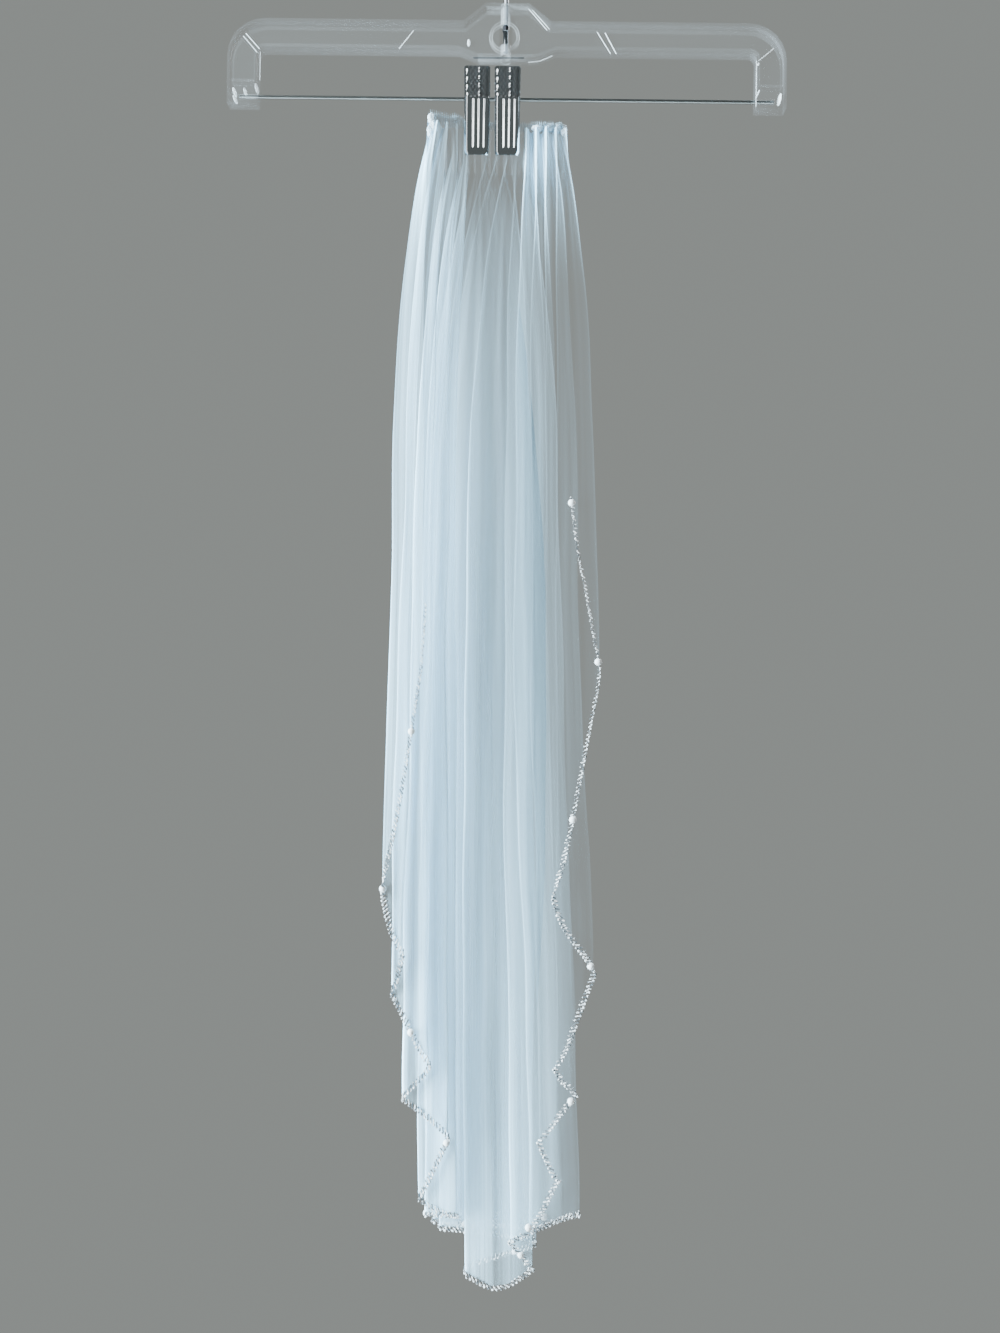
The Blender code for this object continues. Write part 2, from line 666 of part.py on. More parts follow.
def with_pearls(line):
    """Points of the edging with the size at each, swelling outwards round each pearl."""
    lengths = [0.0]
    for a, b in zip(line, line[1:]):
        lengths.append(lengths[-1] + (b[0] - a[0]).length)
    pearls = pearl_places(line, lengths)

    def at(length):
        for k in range(len(lengths) - 1):
            if length <= lengths[k + 1]:
                break
        share = (length - lengths[k]) / (lengths[k + 1] - lengths[k])
        return [line[k][n].lerp(line[k + 1][n], share) for n in (0, 1)]

    near = PEARL_RADIUS * PEARL_FOOT * PEARL_CLEAR
    last = lengths[-1]
    stations = [(s, 1.0) for s in lengths if s == last or all(abs(s - p) > near for p in pearls)]
    for p in pearls:
        stations += [(p + offset * PEARL_RADIUS, size) for offset, size in PEARL_PROFILE]
    stations.sort()
    placed = [(*at(s), size) for s, size in stations]
    return [(place + outward * BEAD_RADIUS * (size - 1.0), size) for place, outward, size in placed]


def make_edging(rows, material):
    """Beaded edging along the hem, thin between its pearls."""
    line = with_pearls(even_line(hem_path(rows), EDGING_STEP))
    rings = []
    across = Vector((0, 1, 0))
    for i, (place, size) in enumerate(line):
        before, after = line[max(i - 1, 0)][0], line[min(i + 1, len(line) - 1)][0]
        along = (after - before).normalized()
        across = (across - along * across.dot(along)).normalized()
        other = along.cross(across)
        ring = []
        for s in range(EDGING_SIDES):
            a = math.tau * s / EDGING_SIDES
            ring.append(place + BEAD_RADIUS * size * (math.cos(a) * across + math.sin(a) * other))
        rings.append(ring)
    points, faces = closed_tube(rings)
    return add_piece("beaded_edging", points, faces, material, None, 40.0)


def make_head(material):
    """Gathered head of the tulle, a ruched roll sewn along the comb."""
    rings = []
    steps = HEAD_GATHERS * 2
    for i in range(steps + 1):
        share = i / steps
        x = COMB_LEFT + (COMB_RIGHT - COMB_LEFT) * share
        ripple = HEAD_RIPPLE * math.cos(math.tau * HEAD_GATHERS * share)
        front = front_reach(x) - HEAD_OVER_FRONT
        back = PLEAT_BACK + HEAD_OVER_BACK
        tall = HEAD_TALL / 2 - SEAT / 2 + (ripple - HEAD_RIPPLE) * 0.6
        end = min(1.0, HEAD_END + (1 - HEAD_END) * min(share, 1 - share) * steps / 3)
        middle_y = (front + back) / 2
        deep = ((back - front) / 2 - HEAD_RIPPLE + ripple) * end
        middle_z = head_z(x) + SEAT + HEAD_TALL / 2
        ring = []
        for s in range(HEAD_SIDES):
            a = math.tau * (s + 0.5) / HEAD_SIDES
            high = tall * end * math.sin(a) / math.cos(math.pi / HEAD_SIDES)
            ring.append((x, middle_y + deep * math.cos(a), middle_z + high))
        rings.append(ring)
    points, faces = closed_tube(rings)
    return add_piece("gathered_head", points, faces, material, None, 50.0)


def make_comb(material):
    """Plain comb behind the gathered head: a spine with teeth that lean back."""
    cells = 2 * COMB_TEETH - 1
    xs = [COMB_LEFT + (COMB_RIGHT - COMB_LEFT) * i / cells for i in range(cells + 1)]
    solid = bmesh.new()
    fronts, backs = [], []
    for x in xs:
        top = head_z(x) + SEAT + HEAD_TALL * 0.5 + COMB_TALL / 2
        low = top - COMB_TALL
        fronts.append([solid.verts.new((x, COMB_FRONT, z)) for z in (top, low)])
        backs.append([solid.verts.new((x, COMB_FRONT + COMB_THICK, z)) for z in (top, low)])
    under = []
    for i in range(cells):
        solid.faces.new((fronts[i][0], fronts[i + 1][0], fronts[i + 1][1], fronts[i][1]))
        solid.faces.new((backs[i][0], backs[i][1], backs[i + 1][1], backs[i + 1][0]))
        solid.faces.new((fronts[i][0], backs[i][0], backs[i + 1][0], fronts[i + 1][0]))
        under.append(solid.faces.new((fronts[i][1], fronts[i + 1][1], backs[i + 1][1], backs[i][1])))
    solid.faces.new((fronts[0][0], fronts[0][1], backs[0][1], backs[0][0]))
    solid.faces.new((fronts[-1][0], backs[-1][0], backs[-1][1], fronts[-1][1]))
    bmesh.ops.recalc_face_normals(solid, faces=solid.faces)
    for face in under[::2]:
        tip = bmesh.ops.extrude_discrete_faces(solid, faces=[face])["faces"][0]
        for vert in tip.verts:
            vert.co += Vector((0, TOOTH_LENGTH * TOOTH_LEAN, -TOOTH_LENGTH))
        centre = tip.calc_center_median()
        for vert in tip.verts:
            vert.co = centre + (vert.co - centre) * TOOTH_TIP
    mesh = bpy.data.meshes.new("comb")
    bmesh.ops.recalc_face_normals(solid, faces=solid.faces)
    solid.to_mesh(mesh)
    solid.free()
    mesh.materials.append(material)
    comb = bpy.data.objects.new("comb", mesh)
    bpy.context.collection.objects.link(comb)
    return comb


def main():
    """Build the hanger, its clips and the veil."""
    clear_scene()
    clear_plastic = finish("clear_plastic", (0.86, 0.88, 0.88), 0.08, 0.0, 0.35)
    steel = finish("steel", (0.66, 0.67, 0.68), 0.22, 1.0)
    chrome = finish("chrome", (0.80, 0.82, 0.83), 0.10, 1.0)
    tulle = finish("tulle", (0.80, 0.87, 0.92), 0.80)
    pearl = finish("pearl", (0.90, 0.91, 0.90), 0.25)

    tilt = bpy.data.objects.new("hanger_tilt", None)
    bpy.context.collection.objects.link(tilt)
    tilt.rotation_euler = (0.0, HANGER_TILT, 0.0)
    make_hanger_frame(clear_plastic, tilt)
    make_hook(steel, tilt)
    make_bar(steel, tilt)
    for name, x in CLIP_PLACES.items():
        make_jaw("clip_" + name + "_front", x, -1, chrome, tilt)
        make_jaw("clip_" + name + "_back", x, 1, chrome, tilt)
        make_spring("clip_" + name + "_spring", x, steel, tilt)

    make_comb(clear_plastic)
    make_head(tulle)
    rows = tulle_rows(column_list())
    make_veil(rows, tulle)
    make_edging(rows, pearl)


main()
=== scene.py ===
"""Bridal veil of tulle with a beaded edge, on a clear hanger with two chromed clips.

Metres, +Z up. The origin is the inside top of the hanger's hook. The front faces -Y.
"""
import math
import random

import bmesh
import bpy
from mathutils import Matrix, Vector, noise


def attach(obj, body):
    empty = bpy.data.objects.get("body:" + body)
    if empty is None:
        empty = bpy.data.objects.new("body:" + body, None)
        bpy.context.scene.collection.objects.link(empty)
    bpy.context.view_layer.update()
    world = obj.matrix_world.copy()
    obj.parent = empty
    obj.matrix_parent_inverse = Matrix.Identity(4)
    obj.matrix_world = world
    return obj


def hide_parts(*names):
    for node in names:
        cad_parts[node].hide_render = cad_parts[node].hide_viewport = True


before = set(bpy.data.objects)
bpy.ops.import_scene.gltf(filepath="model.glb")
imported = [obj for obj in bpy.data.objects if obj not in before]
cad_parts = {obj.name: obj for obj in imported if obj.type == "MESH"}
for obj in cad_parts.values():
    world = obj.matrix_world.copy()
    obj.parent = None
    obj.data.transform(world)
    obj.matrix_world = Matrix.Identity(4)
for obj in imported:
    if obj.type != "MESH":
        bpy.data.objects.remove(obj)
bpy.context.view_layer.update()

MM = 0.001

# Camera
CAMERA_PLACE = (-3.2 * MM, -660.0 * MM, -482.4 * MM)
CAMERA_LENS = 28.0
SENSOR_HEIGHT = 36.0

# Surround: its own tone, and the darker one that polished metal mirrors
GROUND_TONE = (0.262, 0.280, 0.270)
MIRROR_TONE = (0.095, 0.108, 0.108)

# Floor
FLOOR_SIDES = 64
FLOOR_RADIUS = 0.95
FLOOR_Z = -1.62

# Gathered head, as in the solids
HEAD_LEFT = -48.8 * MM
HEAD_RIGHT = 38.6 * MM
HEAD_Z = -140.4 * MM
HEAD_FALL = 0.056
HEAD_TALL = 5.2 * MM
LEFT_TALLER = 3.0 * MM      # the net stands higher to the left of the clips
PLEAT_BACK = 2.4 * MM
PLEAT_FRONT_CLIPPED = -4.2 * MM
PLEAT_FRONT_FREE = -7.2 * MM
CLIPPED = (-31.0 * MM, 15.0 * MM)
CLIPPED_FADE = 8.0 * MM     # the clips' press dies away over this beside them

# How the gathers open into folds, as in the solids
SPREAD_LENGTH = 105.0 * MM
DEPTH_LENGTH = 60.0 * MM
LATE = 22.0 * MM            # folds behind and under the clips open this much lower
BEHIND_FROM = -10.0         # depth in millimetres from which a fold counts as lying behind,
BEHIND_OVER = 8.0           # in full this much further back
LOW_START = 0.45
FOLD_RADIUS_HEAD = 0.75 * MM
FOLD_RADIUS_HEM = 1.5 * MM
BACK_FOLD = "back_left"
BACK_BULGE = 0.35 * MM
LOBE_AFTER = "middle_1"
LOBE_DROP = 12.0 * MM

# One row for each fold from the left side edge to the right one, as in the solids.
# turn is the way the cloth turns round the fold: 1 left, -1 right.
# upper is the fold's x in the veil's upper half, x and y place it at the hem,
# drop is the tulle's length there under the head, all in millimetres, and head
# and hem are how closely its threads lie at either end. Head and hem also carry
# painted light and shade: the left folds' high hems make the net denser and so
# brighter on the left, the low heads of the folds beside and under the clips make
# it thinner and darker there, and the right folds' low hems make it thinner and
# darker on the right, as painted shade.
FOLDS = (
    # name, turn, upper, x, y, drop, head, hem
    ("edge_left", 0, -50.0, -50.0, -28.5, 304.0, 3.4, 1.3),
    ("left_1", -1, -71.5, -74.0, -25.5, 474.0, 3.8, 1.15),
    ("left_2", 1, -56.5, -62.0, -22.5, 516.5, 3.2, 1.35),
    ("left_3", -1, -65.5, -70.5, -19.5, 540.5, 2.3, 1.6),
    ("left_4", 1, -45.5, -47.5, -16.5, 587.5, 0.6, 1.8),
    ("left_5", -1, -59.5, -64.0, -13.5, 609.0, 0.3, 1.9),
    ("left_6", 1, -36.5, -35.5, -10.5, 635.5, 0.3, 1.9),
    ("left_7", -1, -54.5, -54.5, -7.5, 674.5, 0.3, 1.9),
    ("left_8", 1, -30.5, -30.5, -4.5, 688.0, 0.2, 1.7),
    ("left_9", -1, -51.5, -51.5, -1.0, 688.5, 0.2, 1.5),
    ("back_left", -1, -57.0, -51.0, 20.0, 698.0, 0.2, 1.15),
    ("back_right", -1, 29.5, 26.0, 20.0, 701.0, 0.1, 0.16),
    ("hidden_1", 1, -50.5, -46.5, 17.0, 702.0, 0.2, 1.25),
    ("hidden_2", -1, 30.5, 23.5, 14.0, 704.0, 0.1, 0.16),
    ("hidden_3", 1, -47.0, -42.0, 11.0, 703.0, 0.2, 1.25),
    ("hidden_4", -1, 28.5, 20.0, 8.0, 712.0, 0.1, 0.16),
    ("middle_1", 1, -27.5, -26.0, 5.0, 728.0, 0.2, 1.75),
    ("middle_2", -1, 19.5, 17.5, 2.0, 725.0, 0.2, 0.38),
    ("middle_3", 1, -1.0, 2.0, -1.0, 706.5, 0.2, 1.1),
    ("right_9", -1, 38.0, 47.0, -4.0, 687.5, 0.2, 0.04),
    ("right_8", 1, 5.0, 15.5, -7.0, 694.0, 3.8, 0.5),
    ("right_7", -1, 28.5, 33.0, -10.0, 662.5, 4.0, 0.06),
    ("right_6", 1, 16.0, 22.0, -13.0, 637.5, 4.0, 0.18),
    ("right_5", -1, 31.5, 43.5, -16.0, 606.5, 3.4, 0.03),
    ("right_4", 1, 24.5, 32.0, -19.0, 589.0, 3.2, 0.1),
    ("right_3", -1, 45.5, 53.0, -22.0, 528.5, 2.2, 0.03),
    ("right_2", 1, 31.0, 31.0, -25.0, 479.0, 2.2, 0.06),
    ("right_1", -1, 55.5, 57.0, -28.0, 341.0, 2.0, 0.04),
    ("edge_right", 0, 42.0, 42.0, -31.0, 239.5, 2.0, 0.08),
)

LONGEST_DROP = max(row[5] for row in FOLDS) * MM

# Hanger
HANGER_TILT = math.radians(0.65)
FRAME_ROUNDING = 0.5 * MM
COMB_ROUNDING = 0.2 * MM
WEB_DEPTH = 1.8 * MM        # faces nearer the middle than this are the web
STEM_X = 1.4 * MM
BOSS_REACH = 3.9 * MM       # faces nearer the stem than this are the hook's boss
# How squarely a face of the frame has to face the viewer to count as one of these
BOSS_FRONT, FRAME_FRONT, FRAME_BEVEL = 0.995, 0.9, 0.25
NUT_REACH = 1.9 * MM        # the hook's faces further from the stem than this are its nut
NUT_SPAN = (-80.0 * MM, -74.0 * MM)
RIB_OUT = 1.5 * MM          # from the frame's middle to the middle of a rib
RING_PLACE = (0.6, -82.3)
RING_RADII = (9.4 * MM, 8.0 * MM)
RING_WIRE = 0.22 * MM

# Raised white lines on the frame, drawn where it shows bright lines and glints: painted highlights,
# in millimetres from the hook's rest: two ends, width and depth
PAINTED_HIGHLIGHT_RIBS = (
    # ends, width, depth
    (((-57.2, -79.1), (-66.3, -90.9)), 0.45, 0.7),
    (((59.5, -78.9), (68.1, -92.5)), 0.35, 0.7),
    (((64.4, -79.2), (71.7, -92.5)), 0.55, 0.7),
    (((-163.6, -82.2), (-154.8, -91.9)), 0.45, 0.7),
    (((-165.4, -83.8), (-156.4, -94.0)), 0.3, 0.7),
    (((171.7, -87.9), (162.3, -95.9)), 0.25, 1.0),
    (((160.8, -96.0), (160.8, -125.0)), 0.25, 0.8),
    (((-154.4, -93.5), (-154.4, -112.0)), 0.2, 0.8),
    (((15.8, -64.6), (27.6, -78.0)), 0.3, 0.6),
    (((18.0, -65.2), (29.2, -77.4)), 0.2, 0.6),
    (((16.0, -98.6), (23.6, -97.6)), 0.3, 0.8),
    (((23.6, -97.6), (31.0, -94.3)), 0.3, 0.8),
)

# A dark line under the frame's middle, where it shows a dark reflection: a painted reflection. Ends
# in millimetres, width, depth and place in depth
UNDERSIDE = ((-19.0, -97.3), (13.2, -97.0))
UNDERSIDE_WIDE, UNDERSIDE_DEEP, UNDERSIDE_OUT = 0.7 * MM, 1.0 * MM, 3.6 * MM

# Bumps on the frame, drawn where it shows glints: painted highlights. Place, and half sizes across,
# in depth and up
PAINTED_HIGHLIGHT_BUMPS = (
    # place, half sizes
    ((-22.1, -85.7), (1.0, 1.2, 2.3)),
    ((-170.7, -118.7), (0.8, 4.9, 2.0)),
    ((-163.8, -119.0), (0.7, 4.9, 2.0)),
    ((-156.6, -116.6), (0.7, 4.9, 2.8)),
    ((-170.3, -123.5), (0.9, 4.9, 1.4)),
    ((162.2, -116.2), (0.5, 4.9, 0.6)),
    ((176.0, -119.6), (0.8, 4.9, 3.2)),
    ((162.3, -97.2), (0.6, 1.6, 0.7)),
)

# Clips: sheet metal jaws on the bar
BAR_Z = -121.5 * MM
CLIP_WIDE = 16.6 * MM
CLIP_METAL = 1.1 * MM
CLIP_SHEET = 0.8            # thickness of the drawn metal, as a share of the solid's
CLIP_PLACES = {"left": -16.3 * MM, "right": 2.9 * MM}
BACK_JAW_REACH = 0.79       # the back jaw's reach below the bar, as a share of the front one's
JAW_COLUMNS = 72
JAW_ROWS = 96
JAW_ROUNDING = 0.1 * MM
EDGE_ROLL = 1.75 * MM
EDGE_ROLL_START = 0.67
EDGE_ROLL_LOW = 0.76        # below the grip the edge is rolled over a narrower width
EDGE_ROLL_CURVE = 1.3
JAW_TAPER = 0.06            # the jaw narrows by this share towards its lip
JAW_CORNER = 3.0 * MM
JAW_CORNER_CUT = 0.12
RIB_SPAN = (-35.0 * MM, -2.2 * MM)
RIB_FADE_LOW = 1.5 * MM     # the ribs run out over this at their low end
RIB_FADE_HIGH = 0.8 * MM    # and over this at their high one
RIB_PLACES = (-3.0 * MM, 0.6 * MM, 4.2 * MM)
RIB_RISE = 1.15 * MM        # width of a rib's left flank
RIB_FALL = 0.9 * MM         # and of its right one
RIB_RAISE = 0.72 * MM
GRIP_LOW = -1.6 * MM
GRIP_PITCH = 4.3 * MM
GRIP_COLUMN = 0.8 * MM      # the raised dashes start here
GRIP_DASH = 1.1 * MM
GRIP_RAISE = 0.8 * MM
GRIP_KNURL = 0.16 * MM
GRIP_RIGHT = 0.86           # the dull grip ends at this share of the jaw's right half
GRIP_ROWS = 4.0             # dashes up the grip
KNURL_ACROSS = 0.42 * MM
KNURL_UP = 0.55 * MM
SCALLOP = 0.15              # how far the notches reach into the rolled edge

# Inner face of each jaw, as in the solids
JAW_PROFILE = (
    # height, front, back
    (15.6, 9.0, 9.0),
    (8.0, 6.6, 6.6),
    (0.0, 4.3, 4.3),
    (-8.0, 5.6, 6.6),
    (-16.0, 6.4, 8.2),
    (-26.0, 6.0, 8.8),
    (-34.0, 5.3, 8.1),
    (-38.0, 5.0, 7.8),
)

# Tulle's mesh
ARC_STEPS = 5
PASS_STEP = 3.4
TULLE_ROWS = 92
TULLE_ROW_CURVE = 1.2       # above 1 the rows lie closer near the head
RIPPLE_DEPTH = 0.9 * MM
RIPPLE_WIDTHS = (15.0 * MM, 8.3 * MM)
RIPPLE_START = 60.0 * MM    # the ripples grow over this under the head
RIPPLE_DRIFT = 1.6
RIPPLE_DRIFT_LENGTH = 170.0 * MM
THREADS = 0.15              # opacity of one flat layer
CREASE_THREADS = 0.20       # more of it along a fold's edge
CREASE_LENGTH = 110.0 * MM  # a crease comes and goes over this
BAND_WIDTH = 9.0 * MM       # broad soft bands of closer and wider net
BAND_LENGTH = 240.0 * MM
BAND_SHARE = 0.35
OPACITY_RANGE = (0.01, 0.85)
OPEN_FRONT = 50.0 * MM      # over this a front fold's closeness passes from the head's to the hem's
OPEN_BACK = 190.0 * MM      # and a back fold's over this
BACK_FROM = -2.0            # depth in millimetres from which a fold is a back one
LOW_PAINTED_LIGHT = 0.85           # painted light: how much denser, and so brighter, the net is made by the lowest hem
SWAY = 2.4 * MM             # how far the folds wander to either side as they fall
SWAY_LENGTH = 95.0 * MM
SWAY_START = 50.0 * MM
PLEATS_ACROSS = 170.0       # fine pleats over the whole width
PLEATS_ALONG = 1.8
CLOTH_LENGTH = 800.0 * MM   # length of cloth that one unit of its flat place stands for
HEM_STEP = 0.03             # the cloth's way down is taken over this share above the hem

# Beaded edging
BEAD_PITCH = 2.5 * MM
BEAD_SIDES = 5
BUGLE_LENGTH = 3.9 * MM
BUGLE_RADIUS = 0.52 * MM
BUGLE_LEAN = math.radians(52.0)
BUGLE_LEAN_SPREAD = 0.25
BUGLE_END = 0.3 * MM        # length of a bugle's narrowed end
BUGLE_END_RADIUS = 0.55     # and its radius, as a share
BUGLE_FRONT = 0.25 * MM
SEED_RADIUS = 0.85 * MM
SEED_SPREAD = 0.15
SEED_OUT = 1.3 * MM
SEED_FRONT = 0.2 * MM
SEED_PROFILE = ((-0.8, 0.5), (-0.3, 0.95), (0.3, 0.95), (0.8, 0.5))
BEAD_OUT = 1.0 * MM
BEAD_OUT_SPREAD = 0.3
BEAD_DRAWS = 7
PEARL_RADIUS = 2.25 * MM
PEARL_SIDES = 16
PEARL_RINGS = 10
PEARL_START = 3.0 * MM      # of the first pearl from the right side edge
PEARL_OUT = 1.2 * MM
PEARL_FRONT = 0.6 * MM
FINE_SHARE = 0.62           # size of the beads on the upper side edges
FINE_ABOVE = -470.0 * MM
FINE_LENGTH = 160.0 * MM
PEARL_APART = 98.0 * MM

# Ruffle of the gathered head
RUFFLE_LAYERS = 2
RUFFLE_PLEATS = 70
PLEAT_STEPS = 4
RUFFLE_ROWS = 6
RUFFLE_MARGIN = 0.3 * MM    # past the gathers in front and behind
RUFFLE_FOOT = 0.8 * MM      # it starts this far below the tulle's top
RUFFLE_OVER = 1.2 * MM
LAYER_SHIFT = 1.1
PLEAT_WAVER = 0.6
CRUMPLE_SIDE = 0.25 * MM
CRUMPLE_UP = 0.9 * MM
PLEAT_SIDE = 0.4 * MM
RIGHT_FADE = 12.0 * MM      # right of the clips the net gets closer over this
LEFT_RISE_FROM = 8.0 * MM   # left of the clips it gets taller, from this far inside them
LEFT_RISE_OVER = 10.0 * MM

# Crumpled knots of net along the head, in millimetres: place, height over the tulle, half sizes
KNOTS = (
    # x, up, wide, deep, tall
    (-46.4, 3.2, 2.8, 3.4, 3.6),
    (-45.2, -2.0, 3.0, 3.8, 4.6),
    (-47.6, -5.0, 2.0, 3.4, 4.6),
    (20.5, 0.9, 4.0, 3.4, 1.6),
    (27.5, 1.8, 3.6, 3.8, 1.9),
    (33.0, 1.6, 3.0, 3.8, 2.2),
    (37.4, 0.4, 2.6, 3.6, 3.4),
)
KNOT_DRAWS = 23
KNOT_SHIFT = 50.0
KNOT_SIZE = 0.92
KNOT_FINENESS = (2.1, 5.5)  # of its large creases and its small ones
KNOT_CREASES = (0.24, 0.06)

# Edges sharper than this are eased, and those of a smooth piece stay hard
EASE_ANGLE = 35.0
EASE_STEPS = 2

# Clear plastics
PLASTICS = {
    # name: clearness, tone, roughness
    "clear_web": (0.99, (0.80, 0.84, 0.86), 0.10),
    # The rim, edge, glint and boss plastics are painted highlights: the frame's thicker rims, side
    # walls, bevels and the hook's boss are made less clear than its web, for the bright lines that
    # clear plastic shows there.
    "clear_rim_painted_highlight": (0.988, (0.82, 0.86, 0.90), 0.10),
    "clear_edge_painted_highlight": (0.965, (0.74, 0.78, 0.84), 0.12),
    "clear_painted_glint": (0.91, (0.93, 0.95, 0.98), 0.12),
    "clear_boss_painted_highlight": (0.88, (0.80, 0.84, 0.88), 0.06),
    # This white plastic is a painted highlight: the lines and bumps drawn where the frame shows
    # bright lines and glints.
    "clear_ribs_painted_highlight": (0.52, (0.95, 0.97, 0.98), 0.12),
    "clear_ring": (0.90, (0.92, 0.94, 0.96), 0.12),
    # This dark plastic is a painted reflection: the dark line under the frame's middle.
    "painted_dark_reflection": (0.5, (0.04, 0.045, 0.05), 0.3),
    "clear_comb": (0.96, (0.70, 0.74, 0.78), 0.4),
}

# Soft lights. Each faces the veil's middle or the lower part of it.
MIDDLE = (0.0, 0.0, -0.45)
LOW_MIDDLE = (0.0, 0.0, -0.6)
PALE_BLUE = (0.93, 0.97, 1.0)
LIGHTS = (
    # name, place, target, width, height, power, colour, mirrored by polished metal
    ("window_left", (-1.5, -0.5, -0.25), LOW_MIDDLE, 0.8, 2.4, 430.0, (0.70, 0.90, 1.0), False),
    ("strip_left", (-1.45, -0.95, 0.6), MIDDLE, 0.6, 2.6, 29.0, (0.92, 0.98, 1.0), True),
    ("soft_front", (0.5, -1.9, -0.2), MIDDLE, 1.0, 1.4, 10.0, PALE_BLUE, False),
    ("soft_back", (0.9, 1.6, 0.2), MIDDLE, 1.0, 1.2, 34.0, PALE_BLUE, False),
    ("strip_back", (1.1, 1.2, 0.5), MIDDLE, 0.5, 2.2, 16.0, (1.0, 1.0, 1.0), True),
)


def new_material(name, colour, roughness, metallic=0.0):
    """A Principled material, its shader and its node tree."""
    material = bpy.data.materials.new(name)
    material.use_nodes = True
    shader = material.node_tree.nodes["Principled BSDF"]
    shader.inputs["Base Color"].default_value = (*colour, 1.0)
    shader.inputs["Roughness"].default_value = roughness
    shader.inputs["Metallic"].default_value = metallic
    return material, shader, material.node_tree


def noise_on(tree, scale, detail=2.0, stretch=(1.0, 1.0, 1.0)):
    """Noise on a piece's own coordinates."""
    place = tree.nodes.new("ShaderNodeTexCoord")
    mapping = tree.nodes.new("ShaderNodeMapping")
    mapping.inputs["Scale"].default_value = stretch
    texture = tree.nodes.new("ShaderNodeTexNoise")
    texture.inputs["Scale"].default_value = scale
    texture.inputs["Detail"].default_value = detail
    tree.links.new(place.outputs["Object"], mapping.inputs["Vector"])
    tree.links.new(mapping.outputs["Vector"], texture.inputs["Vector"])
    return texture.outputs["Fac"]


def ranged(tree, value, low, high, between=(0.0, 1.0)):
    """The value stretched from one range to another."""
    node = tree.nodes.new("ShaderNodeMapRange")
    node.inputs["From Min"].default_value, node.inputs["From Max"].default_value = between
    node.inputs["To Min"].default_value = low
    node.inputs["To Max"].default_value = high
    tree.links.new(value, node.inputs["Value"])
    return node.outputs["Result"]


def bumped(tree, shader, value, strength, distance):
    """Raise the surface by the value."""
    bump = tree.nodes.new("ShaderNodeBump")
    bump.inputs["Strength"].default_value = strength
    bump.inputs["Distance"].default_value = distance
    tree.links.new(value, bump.inputs["Height"])
    tree.links.new(bump.outputs["Normal"], shader.inputs["Normal"])


def tulle_material():
    """Sheer net: thin where it hangs flat, denser in its gathers, creases and fine pleats, with
    painted light and shade in its opacity from the fold table.
    """
    material, shader, tree = new_material("tulle", (0.60, 0.85, 1.0), 0.75)
    shader.inputs["Sheen Weight"].default_value = 0.12
    shader.inputs["Sheen Roughness"].default_value = 0.4
    shader.inputs["Specular IOR Level"].default_value = 0.1
    cloth = tree.nodes.new("ShaderNodeUVMap")
    cloth.uv_map = "cloth"
    mapping = tree.nodes.new("ShaderNodeMapping")
    mapping.inputs["Scale"].default_value = (PLEATS_ACROSS, PLEATS_ALONG, 1.0)
    pleats = tree.nodes.new("ShaderNodeTexNoise")
    pleats.inputs["Scale"].default_value = 1.0
    pleats.inputs["Detail"].default_value = 3.0
    pleats.inputs["Roughness"].default_value = 0.62
    tree.links.new(cloth.outputs["UV"], mapping.inputs["Vector"])
    tree.links.new(mapping.outputs["Vector"], pleats.inputs["Vector"])
    closer = ranged(tree, pleats.outputs["Fac"], 0.6, 1.9, (0.4, 0.75))
    threads = tree.nodes.new("ShaderNodeAttribute")
    threads.attribute_name = "threads"
    opacity = tree.nodes.new("ShaderNodeMath")
    opacity.operation = "MULTIPLY"
    opacity.use_clamp = True
    tree.links.new(threads.outputs["Fac"], opacity.inputs[0])
    tree.links.new(closer, opacity.inputs[1])
    tree.links.new(opacity.outputs["Value"], shader.inputs["Alpha"])
    return material


def knot_material():
    """The same net where it is drawn up into small crumpled knots."""
    material, shader, tree = new_material("crumpled_tulle", (0.86, 0.94, 1.0), 0.8)
    shader.inputs["Sheen Weight"].default_value = 0.3
    shader.inputs["Alpha"].default_value = 0.66
    bumped(tree, shader, noise_on(tree, 900.0), 0.25, 0.3 * MM)
    return material


def clear_plastic_material(name, clearness, tone, roughness):
    """Clear moulded plastic with faint flow marks, seen through where it is thin."""
    material, shader, tree = new_material(name, tone, roughness)
    shader.inputs["IOR"].default_value = 1.49
    shader.inputs["Coat Weight"].default_value = 1.0
    shader.inputs["Coat Roughness"].default_value = 0.04
    shader.inputs["Alpha"].default_value = 1.0 - clearness
    flow = noise_on(tree, 90.0, 1.0, (1.0, 1.0, 2.5))
    bumped(tree, shader, flow, 0.04, 0.3 * MM)
    return material


def chrome_material():
    """Mirror plating with fine handling marks."""
    material, shader, tree = new_material("chrome", (0.86, 0.88, 0.90), 0.09, 1.0)
    marks = noise_on(tree, 700.0, 3.0, (1.0, 1.0, 0.15))
    tree.links.new(ranged(tree, marks, 0.05, 0.16), shader.inputs["Roughness"])
    return material


def wire_material(name, tone):
    """Bright drawn wire."""
    material, shader, tree = new_material(name, tone, 0.18, 1.0)
    drawn = noise_on(tree, 1200.0, 2.0)
    tree.links.new(ranged(tree, drawn, 0.12, 0.26), shader.inputs["Roughness"])
    return material


def bead_material():
    """Small clear and silver glass beads."""
    material, shader, tree = new_material("silver_beads", (0.86, 0.88, 0.90), 0.12, 0.35)
    shader.inputs["Coat Weight"].default_value = 0.6
    tone = tree.nodes.new("ShaderNodeValToRGB")
    tone.color_ramp.elements[0].color = (0.13, 0.14, 0.15, 1.0)
    tone.color_ramp.elements[0].position = 0.44
    tone.color_ramp.elements[1].color = (0.95, 0.96, 0.97, 1.0)
    tone.color_ramp.elements[1].position = 0.57
    tree.links.new(noise_on(tree, 450.0, 1.0), tone.inputs["Fac"])
    tree.links.new(tone.outputs["Color"], shader.inputs["Base Color"])
    return material


